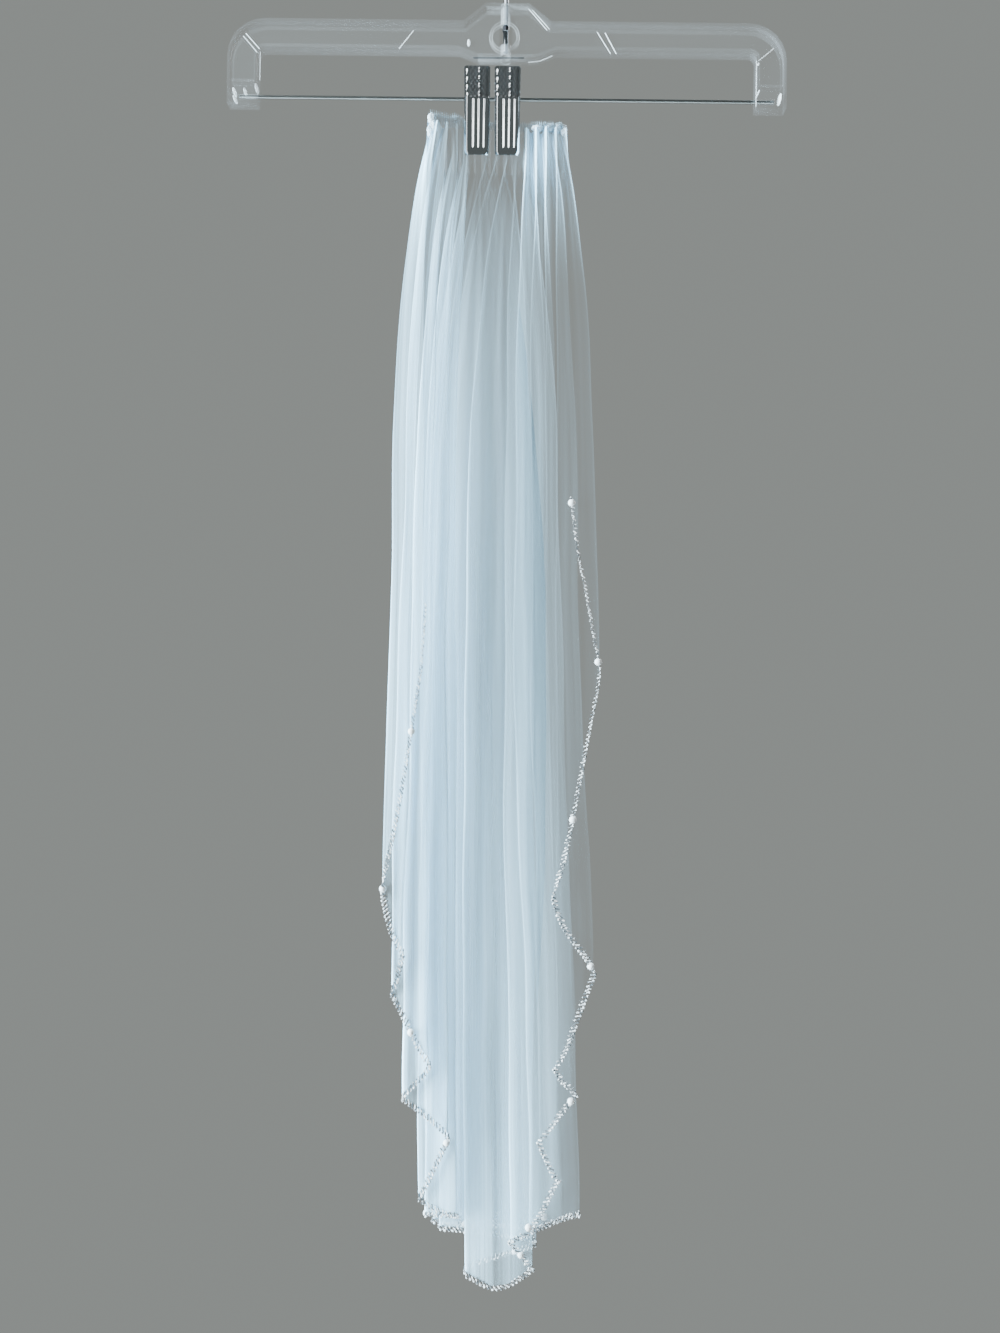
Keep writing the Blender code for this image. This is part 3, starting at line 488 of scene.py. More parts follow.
def pearl_material():
    """Lustrous pearl with a hint of warm and cool in its layers."""
    material, shader, tree = new_material("pearl", (0.93, 0.93, 0.90), 0.18)
    shader.inputs["Coat Weight"].default_value = 0.8
    shader.inputs["Coat Roughness"].default_value = 0.08
    shader.inputs["Sheen Weight"].default_value = 0.3
    tone = tree.nodes.new("ShaderNodeValToRGB")
    tone.color_ramp.elements[0].color = (0.74, 0.72, 0.70, 1.0)
    tone.color_ramp.elements[1].color = (0.80, 0.83, 0.86, 1.0)
    tree.links.new(noise_on(tree, 250.0, 1.0), tone.inputs["Fac"])
    tree.links.new(tone.outputs["Color"], shader.inputs["Base Color"])
    return material


def surface_object(name, points, faces, material, smooth=True):
    """One named object from points and faces."""
    mesh = bpy.data.meshes.new(name)
    mesh.from_pydata([tuple(p) for p in points], [], faces)
    mesh.materials.append(material)
    if smooth:
        mesh.shade_smooth()
    piece = bpy.data.objects.new(name, mesh)
    bpy.context.collection.objects.link(piece)
    return piece


def clamped(value):
    """The value, held between 0 and 1."""
    return min(max(value, 0.0), 1.0)


# Where the folds run


def head_x(index):
    """Where a fold starts along the comb."""
    return HEAD_LEFT + (HEAD_RIGHT - HEAD_LEFT) * index / (len(FOLDS) - 1)


def head_z(x):
    """Height of the tulle's top under the gathered head."""
    return HEAD_Z - HEAD_FALL * (x - (HEAD_LEFT + HEAD_RIGHT) / 2)


def free_share(x):
    """0 where a clip presses the gathers, 1 where nothing does."""
    return clamped(max(CLIPPED[0] - x, x - CLIPPED[1]) / CLIPPED_FADE)


def front_reach(x):
    """How far forward the gathers stand."""
    return PLEAT_FRONT_CLIPPED + (PLEAT_FRONT_FREE - PLEAT_FRONT_CLIPPED) * free_share(x)


def opened_share(index, level, length):
    """Share of its way to the hem that a fold has gone at a depth under the head."""
    depth, drop = FOLDS[index][4], FOLDS[index][5] * MM
    behind = clamped((depth - BEHIND_FROM) / BEHIND_OVER)
    wait = LATE * max(behind, 1.0 - free_share(head_x(index)))
    gone = 1.0 - math.exp(-max(level - wait, 0.0) / length)
    return gone / (1.0 - math.exp(-(drop - wait) / length))


def is_right_turn(index):
    """True where a fold's edge points to the right."""
    beside = [FOLDS[i][3] for i in (index - 1, index + 1) if 0 <= i < len(FOLDS)]
    return FOLDS[index][3] > sum(beside) / len(beside)


def fold_circle(index, level):
    """Centre, radius and turn of a fold at a depth under the head."""
    name, turn, upper_x, hem_x, hem_y, drop = FOLDS[index][:6]
    radius_head = FOLD_RADIUS_HEAD if turn else 0.0
    radius_hem = FOLD_RADIUS_HEM if turn else 0.0
    start_x = head_x(index)
    start_y = front_reach(start_x) + radius_head if turn >= 0 else PLEAT_BACK - radius_head
    if name == BACK_FOLD:
        start_y += BACK_BULGE
    outward = 1.0 if is_right_turn(index) else -1.0
    end_x = upper_x * MM - outward * radius_hem
    share = opened_share(index, level, SPREAD_LENGTH)
    deep = opened_share(index, level, DEPTH_LENGTH)
    low = clamped((level / (drop * MM) - LOW_START) / (1.0 - LOW_START))
    drift = (hem_x - upper_x) * MM * low * low * (3 - 2 * low)
    sway = noise.noise(Vector((index * 7.3, level / SWAY_LENGTH, 4.0)))
    sway *= 1.0 - math.exp(-level / SWAY_START)
    x = start_x + (end_x - start_x) * share + drift + SWAY * sway
    y = start_y + (hem_y * MM - start_y) * deep
    radius = radius_head + (radius_hem - radius_head) * min(share, 1.0) ** 2
    return x, y, radius, turn


def stretch_angle(first, second):
    """Angle of the straight stretch that touches two fold circles."""
    away_x, away_y = second[0] - first[0], second[1] - first[1]
    shift = second[3] * second[2] - first[3] * first[2]
    length = math.sqrt(max(away_x ** 2 + away_y ** 2 - shift ** 2, 1e-12))
    return math.atan2(away_y, away_x) - math.atan2(shift, length)


def column_list():
    """Each column of the tulle as kind, fold number, share and station along the hem."""
    columns = []
    for i, row in enumerate(FOLDS):
        if row[1] == 0:
            columns.append(("edge", i, 0.0, float(i)))
        else:
            shares = [k / ARC_STEPS for k in range(ARC_STEPS + 1)]
            columns += [("arc", i, share, i - 0.1 + 0.2 * share) for share in shares]
        if i + 1 == len(FOLDS):
            break
        parts = max(4, round(math.dist(row[3:5], FOLDS[i + 1][3:5]) / PASS_STEP))
        columns += [("pass", i, k / parts, i + 0.1 + 0.8 * k / parts) for k in range(1, parts)]
    return columns


def hem_drop(station):
    """Length of the tulle at a station, smooth from fold to fold."""
    drops = [(i, row[5] * MM) for i, row in enumerate(FOLDS)]
    place = [row[0] for row in FOLDS].index(LOBE_AFTER)
    middle = (drops[place][1] + drops[place + 1][1]) / 2 + LOBE_DROP
    drops.insert(place + 1, (place + 0.5, middle))
    for k in range(len(drops) - 1):
        if drops[k][0] <= station <= drops[k + 1][0]:
            break
    (x0, y0), (x1, y1) = drops[k], drops[k + 1]
    before = drops[max(k - 1, 0)]
    after = drops[min(k + 2, len(drops) - 1)]
    slope0 = (y1 - before[1]) / (x1 - before[0])
    slope1 = (after[1] - y0) / (after[0] - x0)
    span = x1 - x0
    t = (station - x0) / span
    return (
        (2 * t ** 3 - 3 * t ** 2 + 1) * y0 + (t ** 3 - 2 * t ** 2 + t) * span * slope0
        + (3 * t ** 2 - 2 * t ** 3) * y1 + (t ** 3 - t ** 2) * span * slope1
    )


def tulle_place(column, level):
    """Place and side direction of the tulle at a depth under the head."""
    kind, index, share = column[:3]
    here = fold_circle(index, level)
    if kind == "pass":
        there = fold_circle(index + 1, level)
        angle = stretch_angle(here, there)
        side = (-math.sin(angle), math.cos(angle))
        a = (here[0] - here[3] * here[2] * side[0], here[1] - here[3] * here[2] * side[1])
        b = (there[0] - there[3] * there[2] * side[0], there[1] - there[3] * there[2] * side[1])
        return a[0] + (b[0] - a[0]) * share, a[1] + (b[1] - a[1]) * share, side
    if kind == "edge":
        pair = (0, 1) if index == 0 else (index - 1, index)
        angle = stretch_angle(fold_circle(pair[0], level), fold_circle(pair[1], level))
        return here[0], here[1], (-math.sin(angle), math.cos(angle))
    start = stretch_angle(fold_circle(index - 1, level), here)
    end = stretch_angle(here, fold_circle(index + 1, level))
    turn = here[3]
    angle = start + turn * ((turn * (end - start)) % math.tau) * share
    side = (-math.sin(angle), math.cos(angle))
    return here[0] - turn * here[2] * side[0], here[1] - turn * here[2] * side[1], side


def across_the_cloth(columns):
    """Distance of each column from the left side edge, along the hem."""
    places = [tulle_place(c, hem_drop(c[3]))[:2] for c in columns]
    across = [0.0]
    for a, b in zip(places, places[1:]):
        across.append(across[-1] + math.dist(a, b))
    return across


def ripple(column, across, level):
    """How far the flat stretches wave to and fro, in metres."""
    if column[0] != "pass":
        return 0.0
    calm = math.sin(math.pi * column[2]) * (1.0 - math.exp(-level / RIPPLE_START))
    drift = RIPPLE_DRIFT * math.sin(level / RIPPLE_DRIFT_LENGTH + column[1])
    waves = (
        math.sin(math.tau * across / RIPPLE_WIDTHS[0] + drift)
        + 0.5 * math.sin(math.tau * across / RIPPLE_WIDTHS[1] - 1.7 * drift)
    )
    return RIPPLE_DEPTH * calm * waves / 1.5


def closeness_and_painted_light(column, level):
    """How closely the threads lie at a column: the fold table's head and hem values, blended, which
    also carry painted light and shade, and made denser towards the lowest hem as painted light.
    """
    station = column[3]
    index = min(int(station), len(FOLDS) - 2)
    share = station - index
    head, hem = (FOLDS[index][n] + (FOLDS[index + 1][n] - FOLDS[index][n]) * share for n in (6, 7))
    opening = OPEN_BACK if FOLDS[index][4] > BACK_FROM else OPEN_FRONT
    # Painted light: the net grows denser, and so brighter, towards the lowest hem.
    hem *= 1.0 + LOW_PAINTED_LIGHT * level / LONGEST_DROP
    return hem + (head - hem) * math.exp(-(level / opening) ** 2)


def thread_density(column, across, level):
    """Opacity of the net: broad soft bands, fold edges, the gathers near the head, and the painted
    light and shade of the fold table.
    """
    broad = noise.noise(Vector((across / BAND_WIDTH, level / BAND_LENGTH, 8.0)))
    value = THREADS * (1.0 + BAND_SHARE * broad)
    if column[0] == "arc":
        fade = 0.5 + 0.5 * noise.noise(Vector((column[1] * 3.7, level / CREASE_LENGTH, 2.0)))
        value += CREASE_THREADS * fade * math.sin(math.pi * column[2])
    # The fold table's head and hem values bring painted light and shade into the opacity: denser
    # and brighter on the left, thinner and darker beside the clips and on the right.
    value *= closeness_and_painted_light(column, level)
    return min(max(value, OPACITY_RANGE[0]), OPACITY_RANGE[1])


def make_tulle(columns, material):
    """The tulle panel, one open sheet from the comb to the hem."""
    across = across_the_cloth(columns)
    points, faces, density, places_uv = [], [], [], []
    for r in range(TULLE_ROWS + 1):
        step = (r / TULLE_ROWS) ** TULLE_ROW_CURVE
        for c, column in enumerate(columns):
            long = hem_drop(column[3])
            level = long * step
            x, y, side = tulle_place(column, level)
            wave = ripple(column, across[c], level)
            top = head_z(head_x(column[3]))
            z = top + (HEAD_Z - long - top) * step
            points.append((x + side[0] * wave, y + side[1] * wave, z))
            density.append(thread_density(column, across[c], level))
            places_uv.append((across[c] / across[-1], level / CLOTH_LENGTH))
    wide = len(columns)
    for r in range(TULLE_ROWS):
        for c in range(wide - 1):
            a = r * wide + c
            faces.append((a, a + wide, a + wide + 1, a + 1))
    tulle = surface_object("tulle_panel", points, faces, material)
    name_threads(tulle, density, places_uv)
    return tulle, across[-1]


def name_threads(piece, density, places_uv):
    """Give a net its opacity at each point and its flat place."""
    threads = piece.data.attributes.new("threads", "FLOAT", "POINT")
    threads.data.foreach_set("value", density)
    layer = piece.data.uv_layers.new(name="cloth")
    for loop in piece.data.loops:
        layer.data[loop.index].uv = places_uv[loop.vertex_index]


def hem_line(columns):
    """Points of the hem with the way out from the cloth and the cloth's side there."""
    line = []
    rows = []
    for column in columns:
        long = hem_drop(column[3])
        x, y, side = tulle_place(column, long)
        up = tulle_place(column, long * (1.0 - HEM_STEP))
        down = Vector((x - up[0], y - up[1], -long * HEM_STEP))
        rows.append((Vector((x, y, HEAD_Z - long)), down, side))
    for i, (place, down, side) in enumerate(rows):
        before = rows[max(i - 1, 0)][0]
        after = rows[min(i + 1, len(rows) - 1)][0]
        along = (after - before).normalized()
        side = Vector((side[0], side[1], 0.0))
        outward = down - along * down.dot(along)
        outward = (outward - side * outward.dot(side)).normalized()
        line.append((place, outward, along, side))
    return line


def walk(line, step, start=0.0):
    """Places at even steps along a line, each as point, outward, along and side."""
    places = []
    travelled, wanted = 0.0, start
    for a, b in zip(line, line[1:]):
        length = (b[0] - a[0]).length
        while wanted <= travelled + length:
            share = (wanted - travelled) / length
            places.append(tuple(a[n].lerp(b[n], share) for n in range(4)))
            wanted += step
        travelled += length
    return places


def lathe(points, faces, centre, axis, profile, sides):
    """Add a closed turned shape along an axis: profile holds distance and radius."""
    axis = axis.normalized()
    across = axis.orthogonal().normalized()
    other = axis.cross(across)
    first = len(points)
    for distance, radius in profile:
        for s in range(sides):
            a = math.tau * s / sides
            out = math.cos(a) * across + math.sin(a) * other
            points.append(centre + axis * distance + radius * out)
    for r in range(len(profile) - 1):
        for s in range(sides):
            t = (s + 1) % sides
            low, high = first + r * sides, first + (r + 1) * sides
            faces.append((low + s, low + t, high + t, high + s))
    last = first + (len(profile) - 1) * sides
    faces.append(tuple(first + s for s in reversed(range(sides))))
    faces.append(tuple(last + s for s in range(sides)))


def bead_share(z):
    """Size of the beads at a height: finer on the upper side edges than round the hem."""
    low = clamped((FINE_ABOVE - z) / FINE_LENGTH)
    return FINE_SHARE + (1.0 - FINE_SHARE) * low


def make_bead_edging(line, material):
    """Short slanted bugle beads with a seed bead between each pair, along the hem."""
    rng = random.Random(BEAD_DRAWS)
    points, faces = [], []
    half = BUGLE_LENGTH / 2
    narrow = half - BUGLE_END
    profile = ((-half, BUGLE_END_RADIUS), (-narrow, 1.0), (narrow, 1.0), (half, BUGLE_END_RADIUS))
    for place, outward, along, side in walk(line, BEAD_PITCH):
        lean = BUGLE_LEAN + rng.uniform(-BUGLE_LEAN_SPREAD, BUGLE_LEAN_SPREAD)
        axis = along * math.cos(lean) + outward * math.sin(lean)
        share = bead_share(place.z)
        out = BEAD_OUT + rng.uniform(-BEAD_OUT_SPREAD, BEAD_OUT_SPREAD) * MM
        bugle = place + outward * out - side * BUGLE_FRONT
        rings = [(d * share, BUGLE_RADIUS * r * share) for d, r in profile]
        lathe(points, faces, bugle, axis, rings, BEAD_SIDES)
        seed = place + along * BEAD_PITCH / 2 + outward * (BEAD_OUT + SEED_OUT) * share
        seed -= side * SEED_FRONT
        size = SEED_RADIUS * rng.uniform(1.0 - SEED_SPREAD, 1.0 + SEED_SPREAD) * share
        rings = [(d * size, r * size) for d, r in SEED_PROFILE]
        lathe(points, faces, seed, axis, rings, BEAD_SIDES)
    return surface_object("bead_band", points, faces, material, smooth=False)


def make_pearls(line, material):
    """Pearls at even steps, counted from the right side edge."""
    points, faces = [], []
    profile = []
    for k in range(PEARL_RINGS + 1):
        a = math.pi * (0.05 + 0.9 * k / PEARL_RINGS)
        profile.append((-math.cos(a) * PEARL_RADIUS, math.sin(a) * PEARL_RADIUS))
    back = [(place, outward, -along, side) for place, outward, along, side in reversed(line)]
    for place, outward, along, side in walk(back, PEARL_APART, PEARL_START):
        pearl = place + outward * PEARL_OUT - side * PEARL_FRONT
        lathe(points, faces, pearl, along, profile, PEARL_SIDES)
    return surface_object("pearls", points, faces, material)


def ruffle_height(x, share, layer):
    """Height of the ruffle: uneven, low at its ends and taller left of the clips."""
    tall = HEAD_TALL * (0.72 + 0.5 * noise.noise(Vector((x * 120, 9.0, layer))))
    tall *= min(1.0, 0.3 + 40.0 * min(share, 1.0 - share))
    left = clamped((CLIPPED[0] + LEFT_RISE_FROM - x) / LEFT_RISE_OVER)
    return tall + LEFT_TALLER * left


def make_ruffle(material):
    """Gathered head: the tulle's top edge drawn into a thin band of small ruffles."""
    points, faces, density, places_uv = [], [], [], []
    wide = RUFFLE_PLEATS * PLEAT_STEPS + 1
    for layer in range(RUFFLE_LAYERS):
        first = len(points)
        for r in range(RUFFLE_ROWS + 1):
            up = r / RUFFLE_ROWS
            for i in range(wide):
                share = i / (wide - 1)
                x = HEAD_LEFT + (HEAD_RIGHT - HEAD_LEFT) * share
                crumple = noise.noise(Vector((x * 330, 2.0 * layer, up)))
                waver = PLEAT_WAVER * noise.noise(Vector((x * 90, layer, 0)))
                phase = math.tau * i / PLEAT_STEPS + layer * LAYER_SHIFT + waver
                front, back = front_reach(x) - RUFFLE_MARGIN, PLEAT_BACK + RUFFLE_MARGIN
                deep = (back - front) / 2 * (0.72 + 0.28 * math.sin(math.pi * up))
                deep *= 0.8 + 0.2 * crumple
                rise = (ruffle_height(x, share, layer) + RUFFLE_OVER) * up
                points.append((
                    x + PLEAT_SIDE * math.sin(phase) + CRUMPLE_SIDE * crumple,
                    (front + back) / 2 + deep * math.cos(phase),
                    head_z(x) - RUFFLE_FOOT + rise + CRUMPLE_UP * crumple * up,
                ))
                right = clamped((x - CLIPPED[1]) / RIGHT_FADE)
                closer = 0.30 * max(crumple, 0.0) * (0.25 + right)
                density.append(0.09 + 0.05 * up + 0.30 * right + closer)
                places_uv.append((share * 0.4, up * 0.02))
        for r in range(RUFFLE_ROWS):
            for i in range(wide - 1):
                a = first + r * wide + i
                faces.append((a, a + 1, a + wide + 1, a + wide))
    ruffle = surface_object("ruffled_head", points, faces, material)
    name_threads(ruffle, density, places_uv)
    return ruffle


def make_knots(material):
    """Crumpled knots of net at the ends of the gathered head, where the thread is pulled tight."""
    rng = random.Random(KNOT_DRAWS)
    knots = []
    for x, up, wide, deep, tall in KNOTS:
        bpy.ops.object.select_all(action="DESELECT")
        place = (x * MM, (front_reach(x * MM) + PLEAT_BACK) / 2, head_z(x * MM) + up * MM)
        bpy.ops.mesh.primitive_ico_sphere_add(subdivisions=4, radius=1.0)
        knot = bpy.context.object
        seed = rng.uniform(0.0, KNOT_SHIFT)
        for vert in knot.data.vertices:
            large = noise.noise(vert.co * KNOT_FINENESS[0] + Vector((seed, 0.0, 0.0)))
            small = noise.noise(vert.co * KNOT_FINENESS[1] + Vector((0.0, seed, 0.0)))
            size = KNOT_SIZE + KNOT_CREASES[0] * large + KNOT_CREASES[1] * small
            vert.co = (
                place[0] + vert.co.x * wide * MM * size,
                place[1] + vert.co.y * deep * MM * size,
                place[2] + vert.co.z * tall * MM * size,
            )
        knots.append(knot)
    return joined(knots, "crumpled_knots", material)


def select_only(piece):
    """Make one piece the selected and active one."""
    bpy.ops.object.select_all(action="DESELECT")
    piece.select_set(True)
    bpy.context.view_layer.objects.active = piece


def merged_copy(node, name):
    """A copy of a CAD node with its loose triangles joined."""
    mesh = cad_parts[node].data.copy()
    mesh.name = name
    mesh.materials.clear()
    piece = bpy.data.objects.new(name, mesh)
    bpy.context.collection.objects.link(piece)
    tidy = bmesh.new()
    tidy.from_mesh(mesh)
    bmesh.ops.remove_doubles(tidy, verts=tidy.verts, dist=0.005 * MM)
    bmesh.ops.dissolve_limit(
        tidy, angle_limit=math.radians(0.5), verts=tidy.verts, edges=tidy.edges,
    )
    tidy.to_mesh(mesh)
    tidy.free()
    return piece


def smooth_piece(node, name, material, rounding=0.0):
    """A CAD node's shape with its edges eased and its round parts smooth."""
    piece = merged_copy(node, name)
    piece.data.materials.append(material)
    select_only(piece)
    if rounding:
        ease_edges(piece, rounding)
    bpy.ops.object.shade_smooth_by_angle(angle=math.radians(EASE_ANGLE))
    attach(piece, "root")
    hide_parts(node)
    return piece


def ease_edges(piece, width):
    """Round a piece's sharp edges and apply it."""
    ease = piece.modifiers.new("eased_edges", "BEVEL")
    ease.width = width
    ease.segments = EASE_STEPS
    ease.limit_method = "ANGLE"
    ease.angle_limit = math.radians(EASE_ANGLE)
    select_only(piece)
    bpy.ops.object.modifier_apply(modifier=ease.name)


def make_hanger_frame(plastics):
    """Clear frame: thin web, with painted highlights on its thicker rims, its edges and bevels and
    the hook's boss.
    """
    web, rim, edge, painted_glint, boss = range(5)
    piece = smooth_piece("hanger_frame", "clear_frame", plastics["clear_web"], FRAME_ROUNDING)
    for name in ("clear_rim_painted_highlight", "clear_edge_painted_highlight", "clear_painted_glint", "clear_boss_painted_highlight"):
        piece.data.materials.append(plastics[name])
    # Painted highlights: faces get the less clear plastics by where they lie and which way they
    # face.
    for face in piece.data.polygons:
        stem = on_hanger(STEM_X / MM, face.center.z / MM).x
        facing = abs(face.normal.y)
        if abs(face.center.x - stem) < BOSS_REACH and facing < BOSS_FRONT:
            face.material_index = boss
        elif facing > FRAME_FRONT:
            face.material_index = rim if abs(face.center.y) > WEB_DEPTH else web
        else:
            face.material_index = painted_glint if facing > FRAME_BEVEL else edge
    return piece


def make_hook(wire, dark):
    """Bright wire hook with the dark nut under its boss."""
    piece = smooth_piece("hanger_hook", "hook_wire", wire)
    piece.data.materials.append(dark)
    for face in piece.data.polygons:
        stem = on_hanger(STEM_X / MM, face.center.z / MM).x
        away = math.hypot(face.center.x - stem, face.center.y)
        if NUT_SPAN[0] < face.center.z < NUT_SPAN[1] and away > NUT_REACH:
            face.material_index = 1
    return piece


def on_hanger(px, py, y=0.0):
    """Point of the hanger from its place in millimetres from the hook's rest, before the tilt."""
    x, z = px * MM, py * MM
    return Vector((x * math.cos(HANGER_TILT) + z * math.sin(HANGER_TILT), y,
                   z * math.cos(HANGER_TILT) - x * math.sin(HANGER_TILT)))


def add_bar(ends, wide, deep, y):
    """A straight rib between two points on the frame's web."""
    a, b = (on_hanger(*end, y) for end in ends)
    bpy.ops.object.select_all(action="DESELECT")
    bpy.ops.mesh.primitive_cube_add(size=1.0, location=(a + b) / 2)
    rib = bpy.context.object
    rib.scale = ((b - a).length, deep, wide)
    rib.rotation_euler = (0.0, -math.atan2(b.z - a.z, b.x - a.x), 0.0)
    bpy.ops.object.transform_apply(location=True, rotation=True, scale=True)
    ease_edges(rib, min(wide, deep) * 0.3)
    return rib


def joined(pieces, name, material):
    """Several parts made one piece."""
    bpy.ops.object.select_all(action="DESELECT")
    for piece in pieces:
        piece.select_set(True)
    bpy.context.view_layer.objects.active = pieces[0]
    if len(pieces) > 1:
        bpy.ops.object.join()
    whole = bpy.context.object
    whole.name = name
    whole.data.name = name
    whole.data.materials.clear()
    whole.data.materials.append(material)
    select_only(whole)
    bpy.ops.object.shade_smooth_by_angle(angle=math.radians(EASE_ANGLE))
    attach(whole, "root")
    return whole


def make_painted_highlight_ribs(material):
    """Ribs, seams and bumps on the frame in white plastic, where it shows bright lines and glints:
    painted highlights.
    """
    ribs = [add_bar(ends, wide * MM, deep * MM, -RIB_OUT) for ends, wide, deep in PAINTED_HIGHLIGHT_RIBS]
    for place, half in PAINTED_HIGHLIGHT_BUMPS:
        bpy.ops.object.select_all(action="DESELECT")
        bpy.ops.mesh.primitive_uv_sphere_add(
            segments=20, ring_count=12, radius=MM, location=on_hanger(*place),
        )
        bump = bpy.context.object
        bump.scale = half
        bpy.ops.object.transform_apply(location=True, rotation=True, scale=True)
        ribs.append(bump)
    return joined(ribs, "frame_painted_highlights", material)


def make_painted_reflection(material):
    """A dark line under the middle of the frame: a painted reflection."""
    painted_reflection_line = add_bar(UNDERSIDE, UNDERSIDE_WIDE, UNDERSIDE_DEEP, -UNDERSIDE_OUT)
    return joined([painted_reflection_line], "frame_painted_reflection", material)


def make_hanger_ring(material):
    """The faint round rib at the middle of the frame."""
    rings = []
    for radius in RING_RADII:
        for y in (-RIB_OUT, RIB_OUT):
            bpy.ops.object.select_all(action="DESELECT")
            bpy.ops.mesh.primitive_torus_add(
                major_radius=radius, minor_radius=RING_WIRE, major_segments=64, minor_segments=8,
                location=on_hanger(*RING_PLACE, y), rotation=(math.radians(90.0), 0.0, 0.0),
            )
            bpy.ops.object.transform_apply(location=True, rotation=True, scale=True)
            rings.append(bpy.context.object)
    return joined(rings, "frame_ring", material)


def jaw_distance(height, column):
    """Distance of a jaw's inner face from the bar's plane at a height over the bar."""
    rows = [(row[0] * MM, row[column] * MM) for row in JAW_PROFILE]
    for (high, far), (low, near) in zip(rows, rows[1:]):
        if height >= low:
            return near + (far - near) * min((height - low) / (high - low), 1.0)
    return rows[-1][1]


def is_dash(row):
    """Whether a row of the grip, counted from its low end, has its raised dash here."""
    return row < GRIP_ROWS and 0.2 < row % 1.0 < 0.8


def jaw_relief(across, height, front):
    """Raised ribs on the lower part of a jaw, dashes and a fine knurl on its grip."""
    low, high = RIB_SPAN
    fade = clamped((height - low) / RIB_FADE_LOW) * clamped((high - height) / RIB_FADE_HIGH)
    raised = 0.0
    for start in RIB_PLACES:
        over = across - start
        if 0.0 <= over < RIB_RISE:
            raised = RIB_RAISE * fade * over / RIB_RISE
        elif RIB_RISE <= over < RIB_RISE + RIB_FALL:
            raised = RIB_RAISE * fade * (1.0 - (over - RIB_RISE) / RIB_FALL)
    if front and height > GRIP_LOW:
        row = (height - GRIP_LOW) / GRIP_PITCH
        over = across - GRIP_COLUMN
        if 0.0 <= over < GRIP_DASH and is_dash(row):
            raised = GRIP_RAISE * over / GRIP_DASH
        elif abs(across) < CLIP_WIDE / 2 * EDGE_ROLL_START:
            raised = GRIP_KNURL * math.sin(across / KNURL_ACROSS) * math.sin(height / KNURL_UP)
    return raised


def is_grip(across, height):
    """Whether a place on the front jaw belongs to its dull knurled grip."""
    row = (height - GRIP_LOW) / GRIP_PITCH
    if row < 0.0 or row > GRIP_ROWS:
        return row > GRIP_ROWS and abs(across) < CLIP_WIDE / 2 * EDGE_ROLL_START
    if 0.0 <= across - GRIP_COLUMN < GRIP_DASH and is_dash(row):
        return False
    return -CLIP_WIDE / 2 * EDGE_ROLL_START < across < CLIP_WIDE / 2 * GRIP_RIGHT


def make_jaw(name, node, centre_x, front, finishes):
    """A pressed jaw: sheet metal bent to the clip's profile, with rolled side edges."""
    bpy.ops.object.select_all(action="DESELECT")
    bpy.ops.mesh.primitive_grid_add(x_subdivisions=JAW_COLUMNS, y_subdivisions=JAW_ROWS, size=1.0)
    jaw = bpy.context.object
    jaw.name = name
    jaw.data.name = name
    top, low = JAW_PROFILE[0][0] * MM, JAW_PROFILE[-1][0] * MM
    facing = -1.0 if front else 1.0
    flat = []
    for vert in jaw.data.vertices:
        across = vert.co.x * (CLIP_WIDE - 2 * JAW_ROUNDING)
        height = low + (vert.co.y + 0.5) * (top - low)
        flat.append((across, height))
        start = EDGE_ROLL_LOW
        if height > GRIP_LOW:
            notch = 1.0 - abs(math.sin(math.pi * (height - GRIP_LOW) / GRIP_PITCH))
            start = EDGE_ROLL_START + SCALLOP * notch
        edge = max(abs(across) / (CLIP_WIDE / 2) - start, 0.0) / (1.0 - start)
        away = jaw_distance(height, 1 if front else 2) + CLIP_METAL
        away += jaw_relief(across, height, front) - EDGE_ROLL * edge ** EDGE_ROLL_CURVE
        low_corner = max(1.0 - (height - low) / JAW_CORNER, 0.0) ** 2
        across *= 1.0 - JAW_TAPER * (top - height) / (top - low) - JAW_CORNER_CUT * low_corner
        if not front and height < 0.0:
            height *= BACK_JAW_REACH
        place = on_hanger(centre_x / MM + across / MM, (BAR_Z + height) / MM)
        vert.co = (place.x, facing * away, place.z)
    for material in finishes:
        jaw.data.materials.append(material)
    for face in jaw.data.polygons:
        across = sum(flat[v][0] for v in face.vertices) / 4
        height = sum(flat[v][1] for v in face.vertices) / 4
        if front and is_grip(across, height):
            face.material_index = 1
    if not front:
        jaw.data.flip_normals()
    wall = jaw.modifiers.new("metal", "SOLIDIFY")
    wall.thickness = CLIP_METAL * CLIP_SHEET
    wall.offset = -1.0
    wall.material_offset = 2
    select_only(jaw)
    bpy.ops.object.modifier_apply(modifier=wall.name)
    bpy.ops.object.shade_smooth_by_angle(angle=math.radians(50.0))
    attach(jaw, "root")
    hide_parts(node)
    return jaw


def make_stage():
    """Plain pale floor, far below the hanging veil."""
    angles = [math.tau * k / FLOOR_SIDES for k in range(FLOOR_SIDES)]
    floor = surface_object(
        "floor",
        [(FLOOR_RADIUS * math.cos(a), FLOOR_RADIUS * math.sin(a), FLOOR_Z) for a in angles],
        [tuple(range(FLOOR_SIDES))],
        new_material("floor", (0.62, 0.61, 0.59), 0.8)[0],
        smooth=False,
    )


def add_light(name, place, target, width, height, power, colour, mirrored):
    """A soft rectangular light that faces a point, mirrored by polished metal or not."""
    data = bpy.data.lights.new(name, "AREA")
    data.shape = "RECTANGLE"
    data.size, data.size_y = width, height
    data.energy = power
    data.color = colour
    light = bpy.data.objects.new(name, data)
    light.location = place
    light.visible_glossy = mirrored
    light.rotation_euler = (Vector(target) - Vector(place)).to_track_quat("-Z", "Y").to_euler()
    bpy.context.collection.objects.link(light)


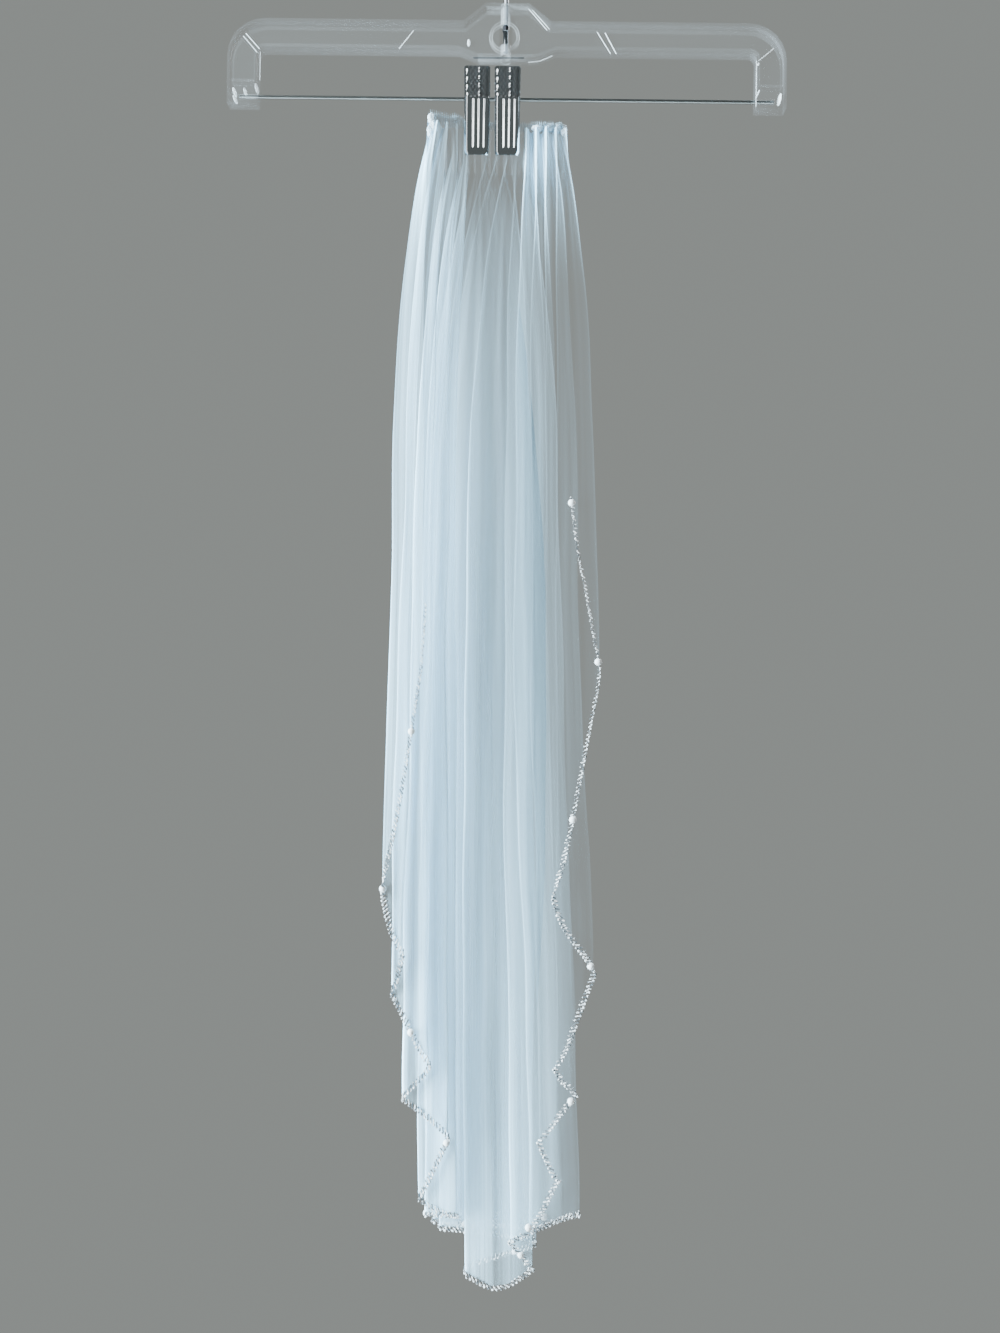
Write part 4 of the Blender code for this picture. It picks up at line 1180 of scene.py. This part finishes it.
def make_lights():
    """Even studio light, stronger from the left, over a plain grey surround."""
    world = bpy.data.worlds.new("surround")
    world.use_nodes = True
    tree = world.node_tree
    ground = tree.nodes["Background"]
    path = tree.nodes.new("ShaderNodeLightPath")
    in_mirror = tree.nodes.new("ShaderNodeMix")
    in_mirror.data_type = "RGBA"
    in_mirror.inputs["A"].default_value = (*GROUND_TONE, 1.0)
    in_mirror.inputs["B"].default_value = (*MIRROR_TONE, 1.0)
    tree.links.new(path.outputs["Is Glossy Ray"], in_mirror.inputs["Factor"])
    tree.links.new(in_mirror.outputs["Result"], ground.inputs["Color"])
    bpy.context.scene.world = world
    for light in LIGHTS:
        add_light(*light)


def make_camera():
    """The photo's viewpoint."""
    data = bpy.data.cameras.new("camera")
    data.sensor_fit = "VERTICAL"
    data.sensor_height = SENSOR_HEIGHT
    data.lens = CAMERA_LENS
    camera = bpy.data.objects.new("camera", data)
    camera.location = CAMERA_PLACE
    camera.rotation_euler = (math.radians(90.0), 0.0, 0.0)
    bpy.context.collection.objects.link(camera)
    bpy.context.scene.camera = camera


make_camera()
make_lights()
make_stage()

plastics = {name: clear_plastic_material(name, *look) for name, look in PLASTICS.items()}
chrome = chrome_material()
dull_chrome = new_material("dull_chrome", (0.36, 0.37, 0.38), 0.5, 1.0)[0]
satin = new_material("satin_metal", (0.50, 0.52, 0.53), 0.6, 0.4)[0]
jaw_finishes = (chrome, dull_chrome, satin)
wire = wire_material("bright_wire", (0.72, 0.73, 0.75))
hook_steel = wire_material("hook_steel", (0.40, 0.44, 0.48))
grey_wire = new_material("grey_wire", (0.40, 0.42, 0.42), 0.42, 1.0)[0]
dark_nut = new_material("dark_nut", (0.03, 0.03, 0.035), 0.3, 0.6)[0]

make_hanger_frame(plastics)
make_painted_highlight_ribs(plastics["clear_ribs_painted_highlight"])
make_hanger_ring(plastics["clear_ring"])
make_painted_reflection(plastics["painted_dark_reflection"])
make_hook(hook_steel, dark_nut)
smooth_piece("hanger_bar", "bar_wire", grey_wire)
for node in ("clip_left_spring", "clip_right_spring"):
    smooth_piece(node, node + "_wire", wire)
for side, centre in CLIP_PLACES.items():
    for end in ("front", "back"):
        jaw = "jaw_" + side + "_" + end
        make_jaw(jaw, "clip_" + side + "_" + end, centre, end == "front", jaw_finishes)
comb = smooth_piece("comb", "clear_comb", plastics["clear_comb"], COMB_ROUNDING)

tulle_columns = column_list()
net = tulle_material()
tulle, tulle_width = make_tulle(tulle_columns, net)
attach(tulle, "root")
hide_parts("veil_panel")

hem = hem_line(tulle_columns)
beads = make_bead_edging(hem, bead_material())
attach(beads, "root")
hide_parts("beaded_edging")
pearls = make_pearls(hem, pearl_material())
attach(pearls, "root")

ruffle = make_ruffle(net)
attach(ruffle, "root")
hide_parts("gathered_head")
knots = make_knots(knot_material())
